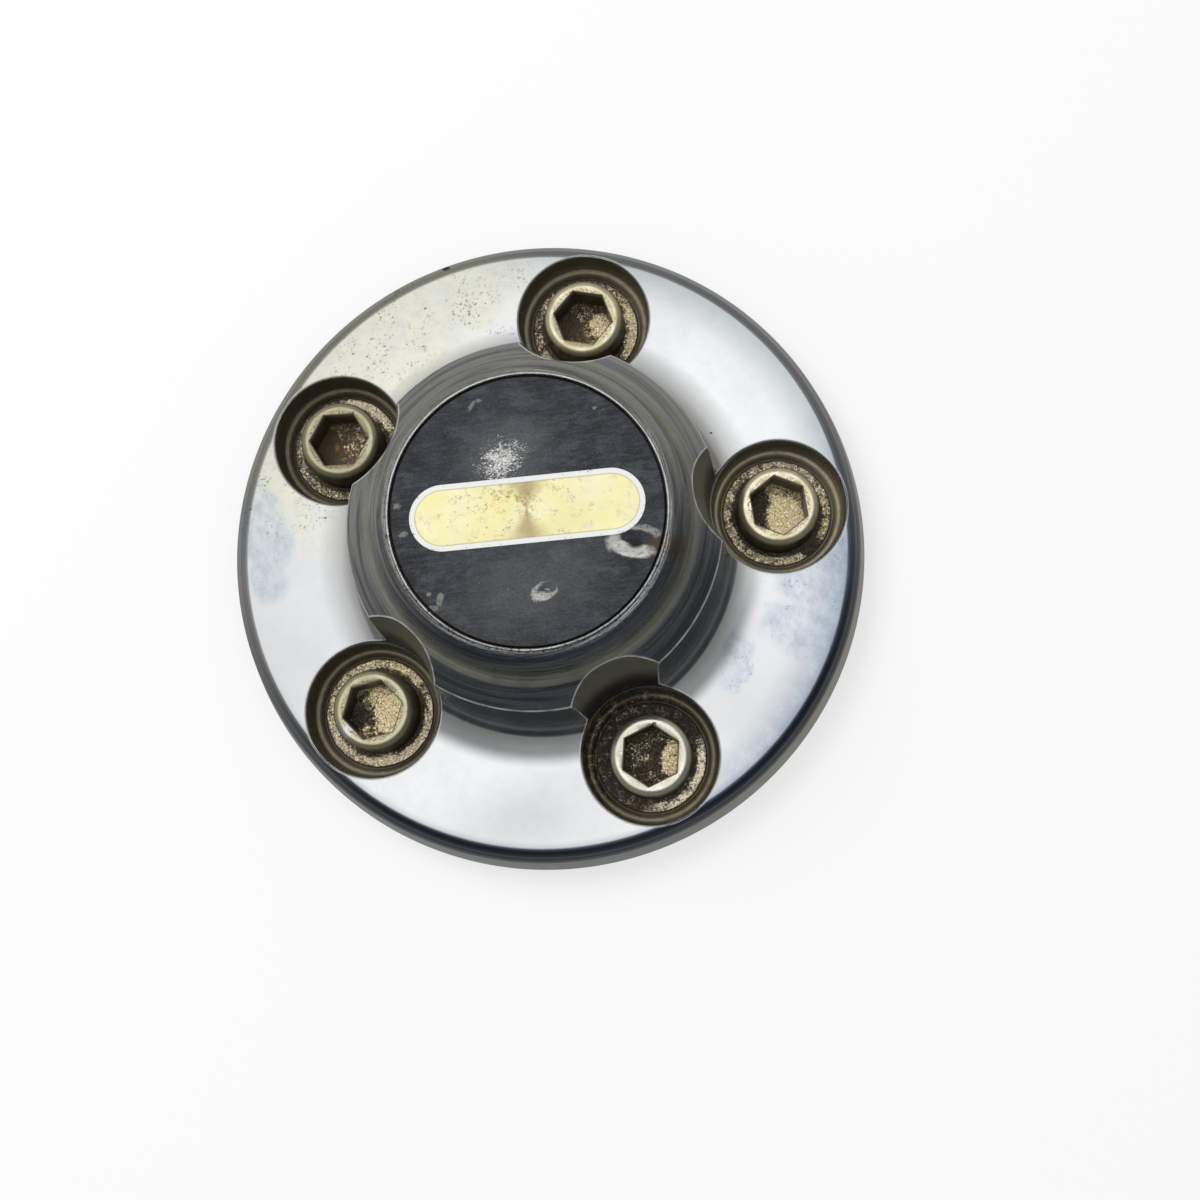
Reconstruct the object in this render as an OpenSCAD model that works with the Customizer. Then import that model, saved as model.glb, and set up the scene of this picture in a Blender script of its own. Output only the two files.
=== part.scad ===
// Wheel center cap with five lug pockets
// Millimetres, +Z up. The rim plane is Z = 0 and the cap's axis is the Z axis.
// The emblem faces +Z, and one lug pocket lies on +X.

/* [Rim and flange] */
// Outer diameter at the skirt's bottom edge
rim_d = 164.4; // [150:0.2:180]
// Height of the flange face above the rim plane
flange_h = 11; // [9:0.1:14]
// Diameter of the flat part of the flange face
flange_face_d = 153; // [140:0.5:156]
// Rounding between flange face and skirt
edge_round_r = 4; // [2:0.1:5]
// Wall of the moulding
wall_t = 2.4; // [1.8:0.1:3]

/* [Hub] */
// Diameter at the crisp shoulder edge
shoulder_d = 90.3; // [84:0.1:94]
// Height of the shoulder edge above the rim plane
shoulder_h = 36.1; // [30:0.1:40]
// Draft of the hub's side wall in degrees
hub_draft = 3.5; // [1:0.1:6]
// Cove between flange face and hub wall
hub_cove_r = 6; // [3:0.1:7]
// Diameter of the line where the shoulder meets the barrel
foot_d = 78.4; // [76:0.1:82]
// Height of that line above the rim plane
foot_h = 41.6; // [38:0.1:43]
// Width of the narrow ledge inside that line
foot_ledge_w = 1.5; // [1.3:0.1:2]
// Rise of the ledge towards the barrel
foot_ledge_rise = 0.3; // [0.1:0.1:0.6]
// Hollow fillet between ledge and barrel
foot_fillet_r = 1.8; // [1:0.1:2]
// Overall height of the cap
cap_h = 50.8; // [47:0.1:56]
// Radius of the barrel's crown
crown_r = 4.2; // [3:0.1:4.5]
// Width of the flat lip round the emblem
lip_w = 0.7; // [0.4:0.1:1.5]

/* [Emblem] */
// Diameter of the emblem disc
emblem_d = 63.6; // [58:0.1:65]
// Thickness of the emblem disc
emblem_t = 1.2; // [0.8:0.1:2]
// Rounding of the disc's upper edge
emblem_round_r = 0.4; // [0.2:0.05:0.6]
// Gap between disc and lip
emblem_gap = 0.3; // [0.1:0.05:0.6]
// How far the lip stands above the disc
emblem_inset = 0.4; // [0.1:0.1:1]

/* [Lug pockets] */
// Number of lug pockets
pocket_count = 5; // [4:1:5]
// Diameter of the circle through the pocket axes
pocket_pcd = 120.65; // [118:0.05:123]
// Diameter of a pocket at the flange face
pocket_d = 34.8; // [32:0.1:36]
// Rounding of the pocket's mouth
mouth_round_r = 0.5; // [0.3:0.1:1]
// Depth of the pocket floor below the flange face
pocket_depth = 8.7; // [7:0.1:8.7]
// Taper of the pocket below the flange face in degrees
pocket_taper = 2.5; // [1:0.1:4]
// Taper of the scallop above the flange face in degrees
scallop_taper = 5.2; // [3:0.1:6]
// Height above the flange face where the scallop opens wider
scallop_break_h = 22.5; // [18:0.5:24]
// Taper of the scallop above that height in degrees
scallop_upper_taper = 12; // [8:0.5:15]
// Width of the ledge round the pocket floor
ledge_w = 2.2; // [1.5:0.1:3]
// Height of the ledge above the pocket floor
ledge_h = 1.5; // [0.8:0.1:2]
// Rounding of the ledge
ledge_round_r = 1.2; // [0.6:0.1:1.4]
// Width of the groove inside the ledge
groove_w = 0.6; // [0.4:0.1:1]
// Depth of the groove below the pocket floor
groove_depth = 0.3; // [0.2:0.1:0.6]
// Thickness of the pocket floor
floor_t = 2; // [1.5:0.1:2.2]

/* [Lug bosses] */
// Outer diameter of a boss
boss_d = 20.2; // [18:0.1:21]
// Taper of the boss's side in degrees
boss_taper = 3; // [1:0.5:5]
// Height of the boss above the flange face
boss_rise = 1; // [-1:0.1:3]
// Rounding of the boss's rim
boss_round_r = 1.9; // [1:0.1:1.9]
// Width of the hexagon socket across its flats
socket_flats = 13.2; // [11:0.1:14]
// Depth of the hexagon socket
socket_depth = 8.6; // [6:0.1:9]
// Bevel at the socket's mouth
socket_bevel = 0.4; // [0.2:0.1:0.6]

/* [Snap ring] */
// Diameter of the hub register that the fingers grip
register_d = 70.3; // [66:0.1:71]
// Length of the gripping pads
pad_len = 4; // [3:0.5:6]
// How far a pad stands in from its finger
pad_rise = 1.1; // [0.6:0.1:1.6]
// Thickness of a finger
finger_t = 2.1; // [1.6:0.1:2.4]
// Gap between the fingertips and the rim plane
finger_gap = 0.8; // [0.5:0.1:1.5]
// Length of the slots between the fingers
slot_len = 23; // [15:1:25]
// Width of a slot
slot_w = 3; // [2:0.5:4]
// Fingers for each lug pocket
fingers_per_pocket = 2; // [1:1:3]
// Diameter of the spring wire
wire_d = 2; // [1.6:0.1:2.2]
// Clearance between the wire and its groove
wire_gap = 0.05; // [0.02:0.01:0.1]
// How far the wire's centre stands out from the fingers
wire_stand = 0.2; // [0.1:0.1:0.5]
// Opening between the ends of the spring ring in degrees
wire_open = 9; // [5:1:14]

/* [Ribs] */
// Ribs between two lug pockets
ribs_per_bay = 3; // [1:1:3]
// Angle between two ribs in degrees
rib_pitch = 11; // [8:0.5:12]
// Thickness of a rib
rib_t = 1.6; // [1:0.1:2]
// Gap between a rib and the rim plane
rib_gap = 2.5; // [1:0.1:4]

/* [Hidden] */
$fn = 96;
eps = 0.01;
over = 5;
// Short straight land between the mouth's rounding and the flange face
mouth_land = 0.05;

function unit(v) = v / norm(v);
// Half of the angle between two directions that leave a corner
function half_angle(u, v) = acos(u * v) / 2;
// Distance from a corner to where a fillet touches its sides
function fillet_len(u, v, r) = r / tan(half_angle(u, v));
// Centre of the fillet in a corner
function fillet_mid(p, u, v, r) = p + unit(u + v) * r / sin(half_angle(u, v));
// Where the line through p along u meets the line through q along v
function meet(p, u, q, v) = p + u * cross(q - p, v) / cross(u, v);

// Rim and flange
rim_r = rim_d / 2;
face_r = flange_face_d / 2;
round_z = flange_h - edge_round_r;
// Where the skirt's straight side leaves the edge rounding
skirt_dx = rim_r - face_r;
skirt_a = acos(edge_round_r / norm([skirt_dx, round_z])) - atan2(round_z, skirt_dx);
skirt_x = face_r + edge_round_r * cos(skirt_a);
skirt_z = round_z + edge_round_r * sin(skirt_a);
skirt_draft = atan((rim_r - skirt_x) / skirt_z);
function skirt_in_x(z) = rim_r - z * tan(skirt_draft) - wall_t / cos(skirt_draft);
under_z = flange_h - wall_t;

// Hub wall and cove
shoulder_r = shoulder_d / 2;
function hub_x(z) = shoulder_r + (shoulder_h - z) * tan(hub_draft);
cove_z = flange_h + hub_cove_r;
cove_x = hub_x(cove_z) + hub_cove_r / cos(hub_draft);
cove_wall_x = cove_x - hub_cove_r * cos(hub_draft);
cove_wall_z = cove_z - hub_cove_r * sin(hub_draft);
hub_in = wall_t / cos(hub_draft);

// Shoulder, barrel and lip
foot_r = foot_d / 2;
recess_r = emblem_d / 2 + emblem_gap;
lip_r = recess_r + lip_w;
disc_top_z = cap_h - emblem_inset;
disc_z = disc_top_z - emblem_t;
crown_z = cap_h - crown_r;
// The barrel's side runs from the ledge and touches the crown
barrel_foot = [foot_r - foot_ledge_w, foot_h + foot_ledge_rise];
crown_to_foot = barrel_foot - [lip_r, crown_z];
crown_a = acos(crown_r / norm(crown_to_foot)) + atan2(crown_to_foot[1], crown_to_foot[0]);
barrel_top = [lip_r, crown_z] + crown_r * [cos(crown_a), sin(crown_a)];
ledge_dir = unit([foot_ledge_w, -foot_ledge_rise]);
barrel_dir = unit(barrel_top - barrel_foot);
foot_fillet_len = fillet_len(ledge_dir, barrel_dir, foot_fillet_r);

// Inside of the hub, one wall thickness in from its outside
shoulder_dir = unit([foot_r - shoulder_r, foot_h - shoulder_h]);
hub_dir = [sin(hub_draft), -cos(hub_draft)];
shoulder_in = fillet_mid([shoulder_r, shoulder_h], shoulder_dir, hub_dir, wall_t);
barrel_in = barrel_foot + wall_t * [-barrel_dir[1], barrel_dir[0]];
barrel_in_low = meet(shoulder_in, shoulder_dir, barrel_in, barrel_dir);
ceiling_z = disc_z - wall_t;
barrel_in_top = meet(barrel_in, barrel_dir, [0, ceiling_z], [1, 0]);

// Lug pockets
pocket_r = pocket_d / 2;
mouth_z = flange_h - mouth_land - mouth_round_r;
floor_z = flange_h - pocket_depth;
ledge_z = floor_z + ledge_h;
groove_z = floor_z - groove_depth;
function pocket_x(z) = pocket_r - mouth_round_r - (mouth_z - z) * tan(pocket_taper);
ledge_r = pocket_x(ledge_z) - ledge_w;
break_z = flange_h + scallop_break_h;
break_r = pocket_r + scallop_break_h * tan(scallop_taper);
cut_top_z = cap_h + over;
cut_top_r = break_r + (cut_top_z - break_z) * tan(scallop_upper_taper);
cup_z = floor_z - floor_t;

// Lug bosses
boss_r = boss_d / 2;
boss_top_z = flange_h + boss_rise;
boss_side = [sin(boss_taper), -cos(boss_taper)];
boss_rim = [boss_r, boss_top_z];
boss_round_len = fillet_len(boss_side, [-1, 0], boss_round_r);
boss_base = boss_rim + boss_side * (boss_top_z - cup_z) / cos(boss_taper);
socket_r = socket_flats / 2 / cos(30);
socket_z = boss_top_z - socket_depth;

// Snap fingers, spring ring and ribs
register_r = register_d / 2;
finger_in_r = register_r + pad_rise;
finger_r = finger_in_r + finger_t;
pad_low_z = finger_gap + pad_rise;
pad_high_z = pad_low_z + pad_len;
pad_end_z = pad_high_z + 2 * pad_rise;
slot_top_z = finger_gap + slot_len;
wire_r = wire_d / 2;
wire_z = (pad_low_z + pad_high_z) / 2;
wire_path_r = finger_r + wire_stand;
finger_count = pocket_count * fingers_per_pocket;
pitch = 360 / pocket_count;

chrome = [0.83, 0.84, 0.85];
charcoal = [0.18, 0.19, 0.22];
spring_steel = [0.45, 0.46, 0.48];

cap_shell();
emblem_disc();
spring_ring();

// Places its children on each lug pocket's axis
module at_pockets() {
    for (k = [0 : pocket_count - 1])
        rotate([0, 0, k * pitch]) translate([pocket_pcd / 2, 0, 0]) children();
}

// Outer outline of the cap, filled to the axis
module outer_profile() {
    difference() {
        union() {
            polygon([
                [0, 0], [rim_r, 0], [skirt_x, skirt_z], [face_r, round_z], [face_r, flange_h],
                [cove_x, flange_h], [cove_wall_x, cove_wall_z], [shoulder_r, shoulder_h],
                [foot_r, foot_h], barrel_foot + ledge_dir * foot_fillet_len,
                barrel_foot + barrel_dir * foot_fillet_len, barrel_top, [lip_r, crown_z],
                [lip_r, cap_h], [0, cap_h]
            ]);
            // Edge rounding of the flange and crown of the barrel
            translate([face_r, round_z]) circle(r = edge_round_r);
            translate([lip_r, crown_z]) circle(r = crown_r);
        }
        // Cove at the hub's base and hollow fillet at the barrel's foot
        translate([cove_x, cove_z]) circle(r = hub_cove_r);
        translate(fillet_mid(barrel_foot, ledge_dir, barrel_dir, foot_fillet_r))
            circle(r = foot_fillet_r);
        // Recess for the emblem
        translate([0, disc_z]) square([recess_r, cap_h]);
    }
}

// Hollow of the back, open at the rim plane
module hollow_profile() {
    polygon([
        [0, -over], [skirt_in_x(-over), -over], [skirt_in_x(under_z), under_z],
        [hub_x(under_z) - hub_in, under_z], shoulder_in, barrel_in_low, barrel_in_top,
        [0, ceiling_z]
    ]);
}

// What is cut away for one lug pocket and the scallop above it
module pocket_profile() {
    difference() {
        polygon([
            [0, floor_z], [ledge_r - groove_w, floor_z], [ledge_r - groove_w, groove_z],
            [ledge_r, groove_z], [ledge_r, ledge_z - ledge_round_r],
            [ledge_r + ledge_round_r, ledge_z - ledge_round_r], [ledge_r + ledge_round_r, ledge_z],
            [pocket_x(ledge_z), ledge_z], [pocket_x(mouth_z), mouth_z], [pocket_r, mouth_z],
            [pocket_r, flange_h], [break_r, break_z], [cut_top_r, cut_top_z], [0, cut_top_z]
        ]);
        translate([ledge_r + ledge_round_r, ledge_z - ledge_round_r]) circle(r = ledge_round_r);
        translate([pocket_r, mouth_z]) circle(r = mouth_round_r);
    }
}

// The cup that walls a pocket in, one wall thickness outside the cut
module cup_profile() {
    polygon([
        [0, cup_z], [pocket_x(cup_z) + wall_t, cup_z], [pocket_r + wall_t, flange_h],
        [break_r + wall_t, break_z], [cut_top_r + wall_t, cut_top_z], [0, cut_top_z]
    ]);
}

// Round boss with a hexagon socket, standing on the pocket floor
module lug_boss() {
    difference() {
        rotate_extrude() union() {
            polygon([
                [0, cup_z], boss_base, boss_rim + boss_side * boss_round_len,
                boss_rim + [-boss_round_len, -boss_round_r], boss_rim + [-boss_round_len, 0],
                [0, boss_top_z]
            ]);
            translate(fillet_mid(boss_rim, boss_side, [-1, 0], boss_round_r))
                circle(r = boss_round_r);
        }
        rotate([0, 0, 30]) translate([0, 0, socket_z])
            cylinder(r = socket_r, h = socket_depth + over, $fn = 6);
        translate([0, 0, boss_top_z - socket_bevel])
            cylinder(r1 = socket_flats / 2, r2 = socket_flats / 2 + socket_bevel + eps, h = socket_bevel + eps);
    }
}

// Slotted tube whose pads grip the register of the wheel hub
module snap_fingers() {
    difference() {
        rotate_extrude() difference() {
            polygon([
                [finger_in_r, finger_gap], [finger_r, finger_gap], [finger_r, cap_h],
                [finger_in_r, cap_h], [finger_in_r, pad_end_z], [register_r, pad_high_z],
                [register_r, pad_low_z]
            ]);
            // Groove for the spring wire
            translate([wire_path_r, wire_z]) circle(r = wire_r + wire_gap);
        }
        for (k = [0 : finger_count - 1])
            rotate([0, 0, (k + 0.5) * 360 / finger_count])
                translate([0, -slot_w / 2, 0]) cube([finger_r + over, slot_w, slot_top_z]);
    }
}

// Ribs under the flange, between two lug pockets
module bay_ribs() {
    for (k = [0 : pocket_count - 1], i = [0 : ribs_per_bay - 1])
        rotate([0, 0, (k + 0.5) * pitch + (i - (ribs_per_bay - 1) / 2) * rib_pitch])
            translate([cove_wall_x, -rib_t / 2, rib_gap])
                cube([rim_r - cove_wall_x, rib_t, flange_h - rib_gap]);
}

// The one moulding: flange, hub, pockets, bosses, fingers and ribs
module cap_shell() {
    color(chrome) union() {
        difference() {
            rotate_extrude() outer_profile();
            difference() {
                rotate_extrude() hollow_profile();
                at_pockets() rotate_extrude() cup_profile();
                snap_fingers();
                bay_ribs();
            }
            at_pockets() rotate_extrude() pocket_profile();
        }
        at_pockets() lug_boss();
    }
}

// Thin aluminium disc that sits in the recess
module emblem_disc() {
    rim = [emblem_d / 2, disc_top_z];
    color(charcoal) rotate_extrude() union() {
        polygon([
            [0, disc_z], [rim[0], disc_z], rim - [0, emblem_round_r],
            rim - [emblem_round_r, emblem_round_r], rim - [emblem_round_r, 0], [0, disc_top_z]
        ]);
        translate(rim - [emblem_round_r, emblem_round_r]) circle(r = emblem_round_r);
    }
}

// Open wire ring in the fingers' groove
module spring_ring() {
    color(spring_steel)
        rotate([0, 0, (pitch + wire_open) / 2]) rotate_extrude(angle = 360 - wire_open)
            translate([wire_path_r, wire_z]) circle(r = wire_r, $fn = 24);
}
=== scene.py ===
"""Looks of a wheel center cap with five lug pockets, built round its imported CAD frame.

Outlines are in millimetres, and a piece becomes metres when its mesh is finished.
"""

import logging
import math
from dataclasses import dataclass, field
from enum import Enum
from functools import reduce

import bmesh
import bpy
from mathutils import Matrix, noise


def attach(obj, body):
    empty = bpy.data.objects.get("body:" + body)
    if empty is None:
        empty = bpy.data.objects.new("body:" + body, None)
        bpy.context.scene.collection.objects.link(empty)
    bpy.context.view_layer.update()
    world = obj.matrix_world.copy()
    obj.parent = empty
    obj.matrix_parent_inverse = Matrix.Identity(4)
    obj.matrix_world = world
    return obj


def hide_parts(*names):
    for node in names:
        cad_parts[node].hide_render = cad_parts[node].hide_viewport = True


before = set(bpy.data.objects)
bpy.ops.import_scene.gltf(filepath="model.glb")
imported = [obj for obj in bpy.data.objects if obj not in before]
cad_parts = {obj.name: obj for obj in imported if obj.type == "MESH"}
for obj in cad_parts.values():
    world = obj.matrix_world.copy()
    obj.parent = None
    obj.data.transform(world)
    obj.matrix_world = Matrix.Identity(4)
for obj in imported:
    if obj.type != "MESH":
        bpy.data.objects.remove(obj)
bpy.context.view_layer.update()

LOG = logging.getLogger("cap")
MM = 0.001
POCKETS = 5
LUG_CIRCLE_R = 60.325
WHITE = (1.0, 1.0, 1.0)
Socket = bpy.types.NodeSocket
Value = Socket | float | tuple


class Finish(Enum):
    """Slots of the cap's moulding, in the order of its material list."""

    CHROME = 0
    POCKET = 1
    BOSS = 2
    SOCKET = 3
    BACK = 4


@dataclass(frozen=True)
class Corner:
    """One corner of an outline that is turned about an axis, in millimetres.

    Attributes:
        r: Distance from the axis.
        z: Height.
        ease: Length that a rounding takes from each side of the corner, or 0.
        steps: Number of pieces of the rounding.
    """

    r: float
    z: float
    ease: float = 0.0
    steps: int = 8


def coated(bm: bmesh.types.BMesh, finish: Finish) -> bmesh.types.BMesh:
    """Turns the faces of a shape outwards and gives them all one finish.

    Args:
        bm: The shape.
        finish: The finish.

    Returns:
        The same shape.
    """
    bmesh.ops.recalc_face_normals(bm, faces=bm.faces[:])
    for face in bm.faces:
        face.material_index = finish.value
    return bm


def spun(bm: bmesh.types.BMesh, steps: int, angle: float = math.tau) -> None:
    """Spins the outline in a shape about the Z axis.

    Args:
        bm: The shape.
        steps: Number of steps.
        angle: How far it turns, a full turn unless told otherwise.
    """
    bmesh.ops.spin(
        bm, geom=bm.verts[:] + bm.edges[:], cent=(0, 0, 0), axis=(0, 0, 1), dvec=(0, 0, 0),
        angle=angle, steps=steps, use_merge=angle == math.tau, use_duplicate=False,
    )


def turned(
    corners: list[Corner], turns: int, finish: Finish = Finish.CHROME, ring: bool = False,
) -> bmesh.types.BMesh:
    """Turns an outline about the Z axis.

    Args:
        corners: The outline from one end to the other.
        turns: Number of steps of the full turn.
        finish: Slot of its surface.
        ring: Whether the outline closes on itself, instead of ending on the axis.

    Returns:
        The turned shape, in millimetres.
    """
    bm = bmesh.new()
    verts = [bm.verts.new((c.r, 0.0, c.z)) for c in corners]
    for pair in zip(verts, verts[1:]):
        bm.edges.new(pair)
    if ring:
        bm.edges.new((verts[-1], verts[0]))
    for corner, vert in zip(corners, verts):
        if corner.ease > 0.0:
            bmesh.ops.bevel(
                bm, geom=[vert], offset=corner.ease, offset_type="OFFSET", segments=corner.steps,
                profile=0.5, affect="VERTICES", material=-1,
            )
    spun(bm, turns)
    bmesh.ops.remove_doubles(bm, verts=bm.verts[:], dist=1e-4)
    bmesh.ops.dissolve_degenerate(bm, edges=bm.edges[:], dist=1e-5)
    return coated(bm, finish)


def wire_section(thick_r: float, path_r: float, path_z: float) -> bmesh.types.BMesh:
    """The round section of a wire whose path runs round the Z axis.

    Args:
        thick_r: Radius of the section in millimetres.
        path_r: Radius of the path.
        path_z: Height of the path.

    Returns:
        The section, ready to be spun.
    """
    bm = bmesh.new()
    bmesh.ops.create_circle(bm, cap_ends=False, segments=24, radius=thick_r)
    upright = Matrix.Rotation(math.pi / 2, 3, "X")
    bmesh.ops.rotate(bm, verts=bm.verts[:], cent=(0, 0, 0), matrix=upright)
    bmesh.ops.translate(bm, verts=bm.verts[:], vec=(path_r, 0.0, path_z))
    return bm


def block(low: tuple, high: tuple) -> bmesh.types.BMesh:
    """A plain block between two corners, for cutting with.

    Args:
        low: Lowest corner in millimetres.
        high: Highest corner in millimetres.

    Returns:
        The block, on the back's finish.
    """
    bm = bmesh.new()
    bmesh.ops.create_cube(bm, size=1.0)
    bmesh.ops.scale(bm, vec=[b - a for a, b in zip(low, high)], verts=bm.verts[:])
    bmesh.ops.translate(bm, vec=[(a + b) / 2 for a, b in zip(low, high)], verts=bm.verts[:])
    return coated(bm, Finish.BACK)


def repeated(bm: bmesh.types.BMesh, angles: list[float]) -> bmesh.types.BMesh:
    """Repeats a shape about the Z axis.

    Args:
        bm: The shape, which becomes the whole set.
        angles: Angle of each copy in degrees.

    Returns:
        The same shape, with its copies.
    """
    first = bm.verts[:] + bm.edges[:] + bm.faces[:]
    sets = [bmesh.ops.duplicate(bm, geom=first)["geom"] for _ in angles[1:]]
    for angle, part in zip(angles, [first, *sets]):
        verts = [point for point in part if isinstance(point, bmesh.types.BMVert)]
        turn = Matrix.Rotation(math.radians(angle), 3, "Z")
        bmesh.ops.rotate(bm, verts=verts, cent=(0, 0, 0), matrix=turn)
    return bm


def loose(bm: bmesh.types.BMesh, name: str, slots: list[bpy.types.Material]) -> bpy.types.Object:
    """Makes an object of a mesh that is still in millimetres.

    Args:
        bm: The shape, which is freed.
        name: Name of the object.
        slots: Its materials.

    Returns:
        The object, linked to the scene.
    """
    mesh = bpy.data.meshes.new(name)
    bm.to_mesh(mesh)
    bm.free()
    for slot in slots:
        mesh.materials.append(slot)
    piece = bpy.data.objects.new(name, mesh)
    bpy.context.scene.collection.objects.link(piece)
    return piece


def combine(base: bpy.types.Object, tool: bpy.types.Object, operation: str) -> None:
    """Cuts, joins or intersects one solid with another and drops the tool.

    Args:
        base: The solid that changes.
        tool: The other solid, which is removed.
        operation: DIFFERENCE, UNION or INTERSECT.
    """
    step = base.modifiers.new("combine", "BOOLEAN")
    step.operation = operation
    step.solver = "MANIFOLD"
    step.object = tool
    bpy.context.view_layer.update()
    whole = bpy.context.evaluated_depsgraph_get()
    mesh = bpy.data.meshes.new_from_object(base.evaluated_get(whole))
    base.modifiers.clear()
    old = base.data
    base.data = mesh
    bpy.data.meshes.remove(old)
    shape = tool.data
    bpy.data.objects.remove(tool)
    bpy.data.meshes.remove(shape)


def finished(piece: bpy.types.Object, sharp: float) -> None:
    """Scales a piece to metres, marks its creases and smooths the rest.

    Args:
        piece: The piece, in millimetres.
        sharp: Angle in degrees from which an edge is a crease.
    """
    bm = bmesh.new()
    bm.from_mesh(piece.data)
    bmesh.ops.scale(bm, vec=(MM, MM, MM), verts=bm.verts[:])
    for face in bm.faces:
        face.smooth = True
    for edge in bm.edges:
        if len(edge.link_faces) == 2:
            edge.smooth = edge.calc_face_angle(0.0) < math.radians(sharp)
    bm.to_mesh(piece.data)
    bm.free()
    piece.data.update()


class Nodes:
    """Builds a node tree, a node at a time."""

    def __init__(self, tree: bpy.types.NodeTree) -> None:
        """Starts on an emptied tree.

        Args:
            tree: The tree to fill.
        """
        self.tree = tree
        tree.nodes.clear()

    def add(self, kind: str, *values: Value, named: dict | None = None, **settings: object) -> bpy.types.Node:
        """Adds a node.

        Args:
            kind: Its type, without the words ShaderNode.
            values: What its first inputs get, in order.
            named: What other inputs get, by name or number.
            settings: Its properties.

        Returns:
            The node.
        """
        node = self.tree.nodes.new("ShaderNode" + kind)
        for name, setting in settings.items():
            setattr(node, name, setting)
        for key, value in [*enumerate(values), *(named or {}).items()]:
            self.feed(node.inputs[key], value)
        return node

    def feed(self, socket: Socket, value: Value) -> None:
        """Links an input, or sets a plain number, vector or colour on it.

        Args:
            socket: The input socket.
            value: An output socket, a number or a tuple.
        """
        if isinstance(value, Socket):
            self.tree.links.new(value, socket)
        elif socket.type != "RGBA":
            socket.default_value = value
        else:
            socket.default_value = (*value, 1.0) if isinstance(value, tuple) else (value, value, value, 1.0)

    def math(self, kind: str, a: Value, b: Value = 0.0, c: Value = 0.0, clamp: bool = False) -> Socket:
        """The result of one math node."""
        return self.add("Math", a, b, c, operation=kind, use_clamp=clamp).outputs[0]

    def vector(self, kind: str, a: Value, b: Value = (0.0, 0.0, 0.0)) -> Socket:
        """The result of one vector math node, a number for LENGTH and DOT_PRODUCT."""
        node = self.add("VectorMath", a, b, operation=kind)
        return node.outputs["Value" if kind in ("LENGTH", "DOT_PRODUCT") else "Vector"]

    def seen(self) -> Socket:
        """1 for camera, glossy and transmission rays, and 0 for the others."""
        path = self.add("LightPath").outputs
        total = self.math("ADD", path["Is Camera Ray"], path["Is Glossy Ray"])
        return self.math("ADD", total, path["Is Transmission Ray"], clamp=True)


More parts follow.
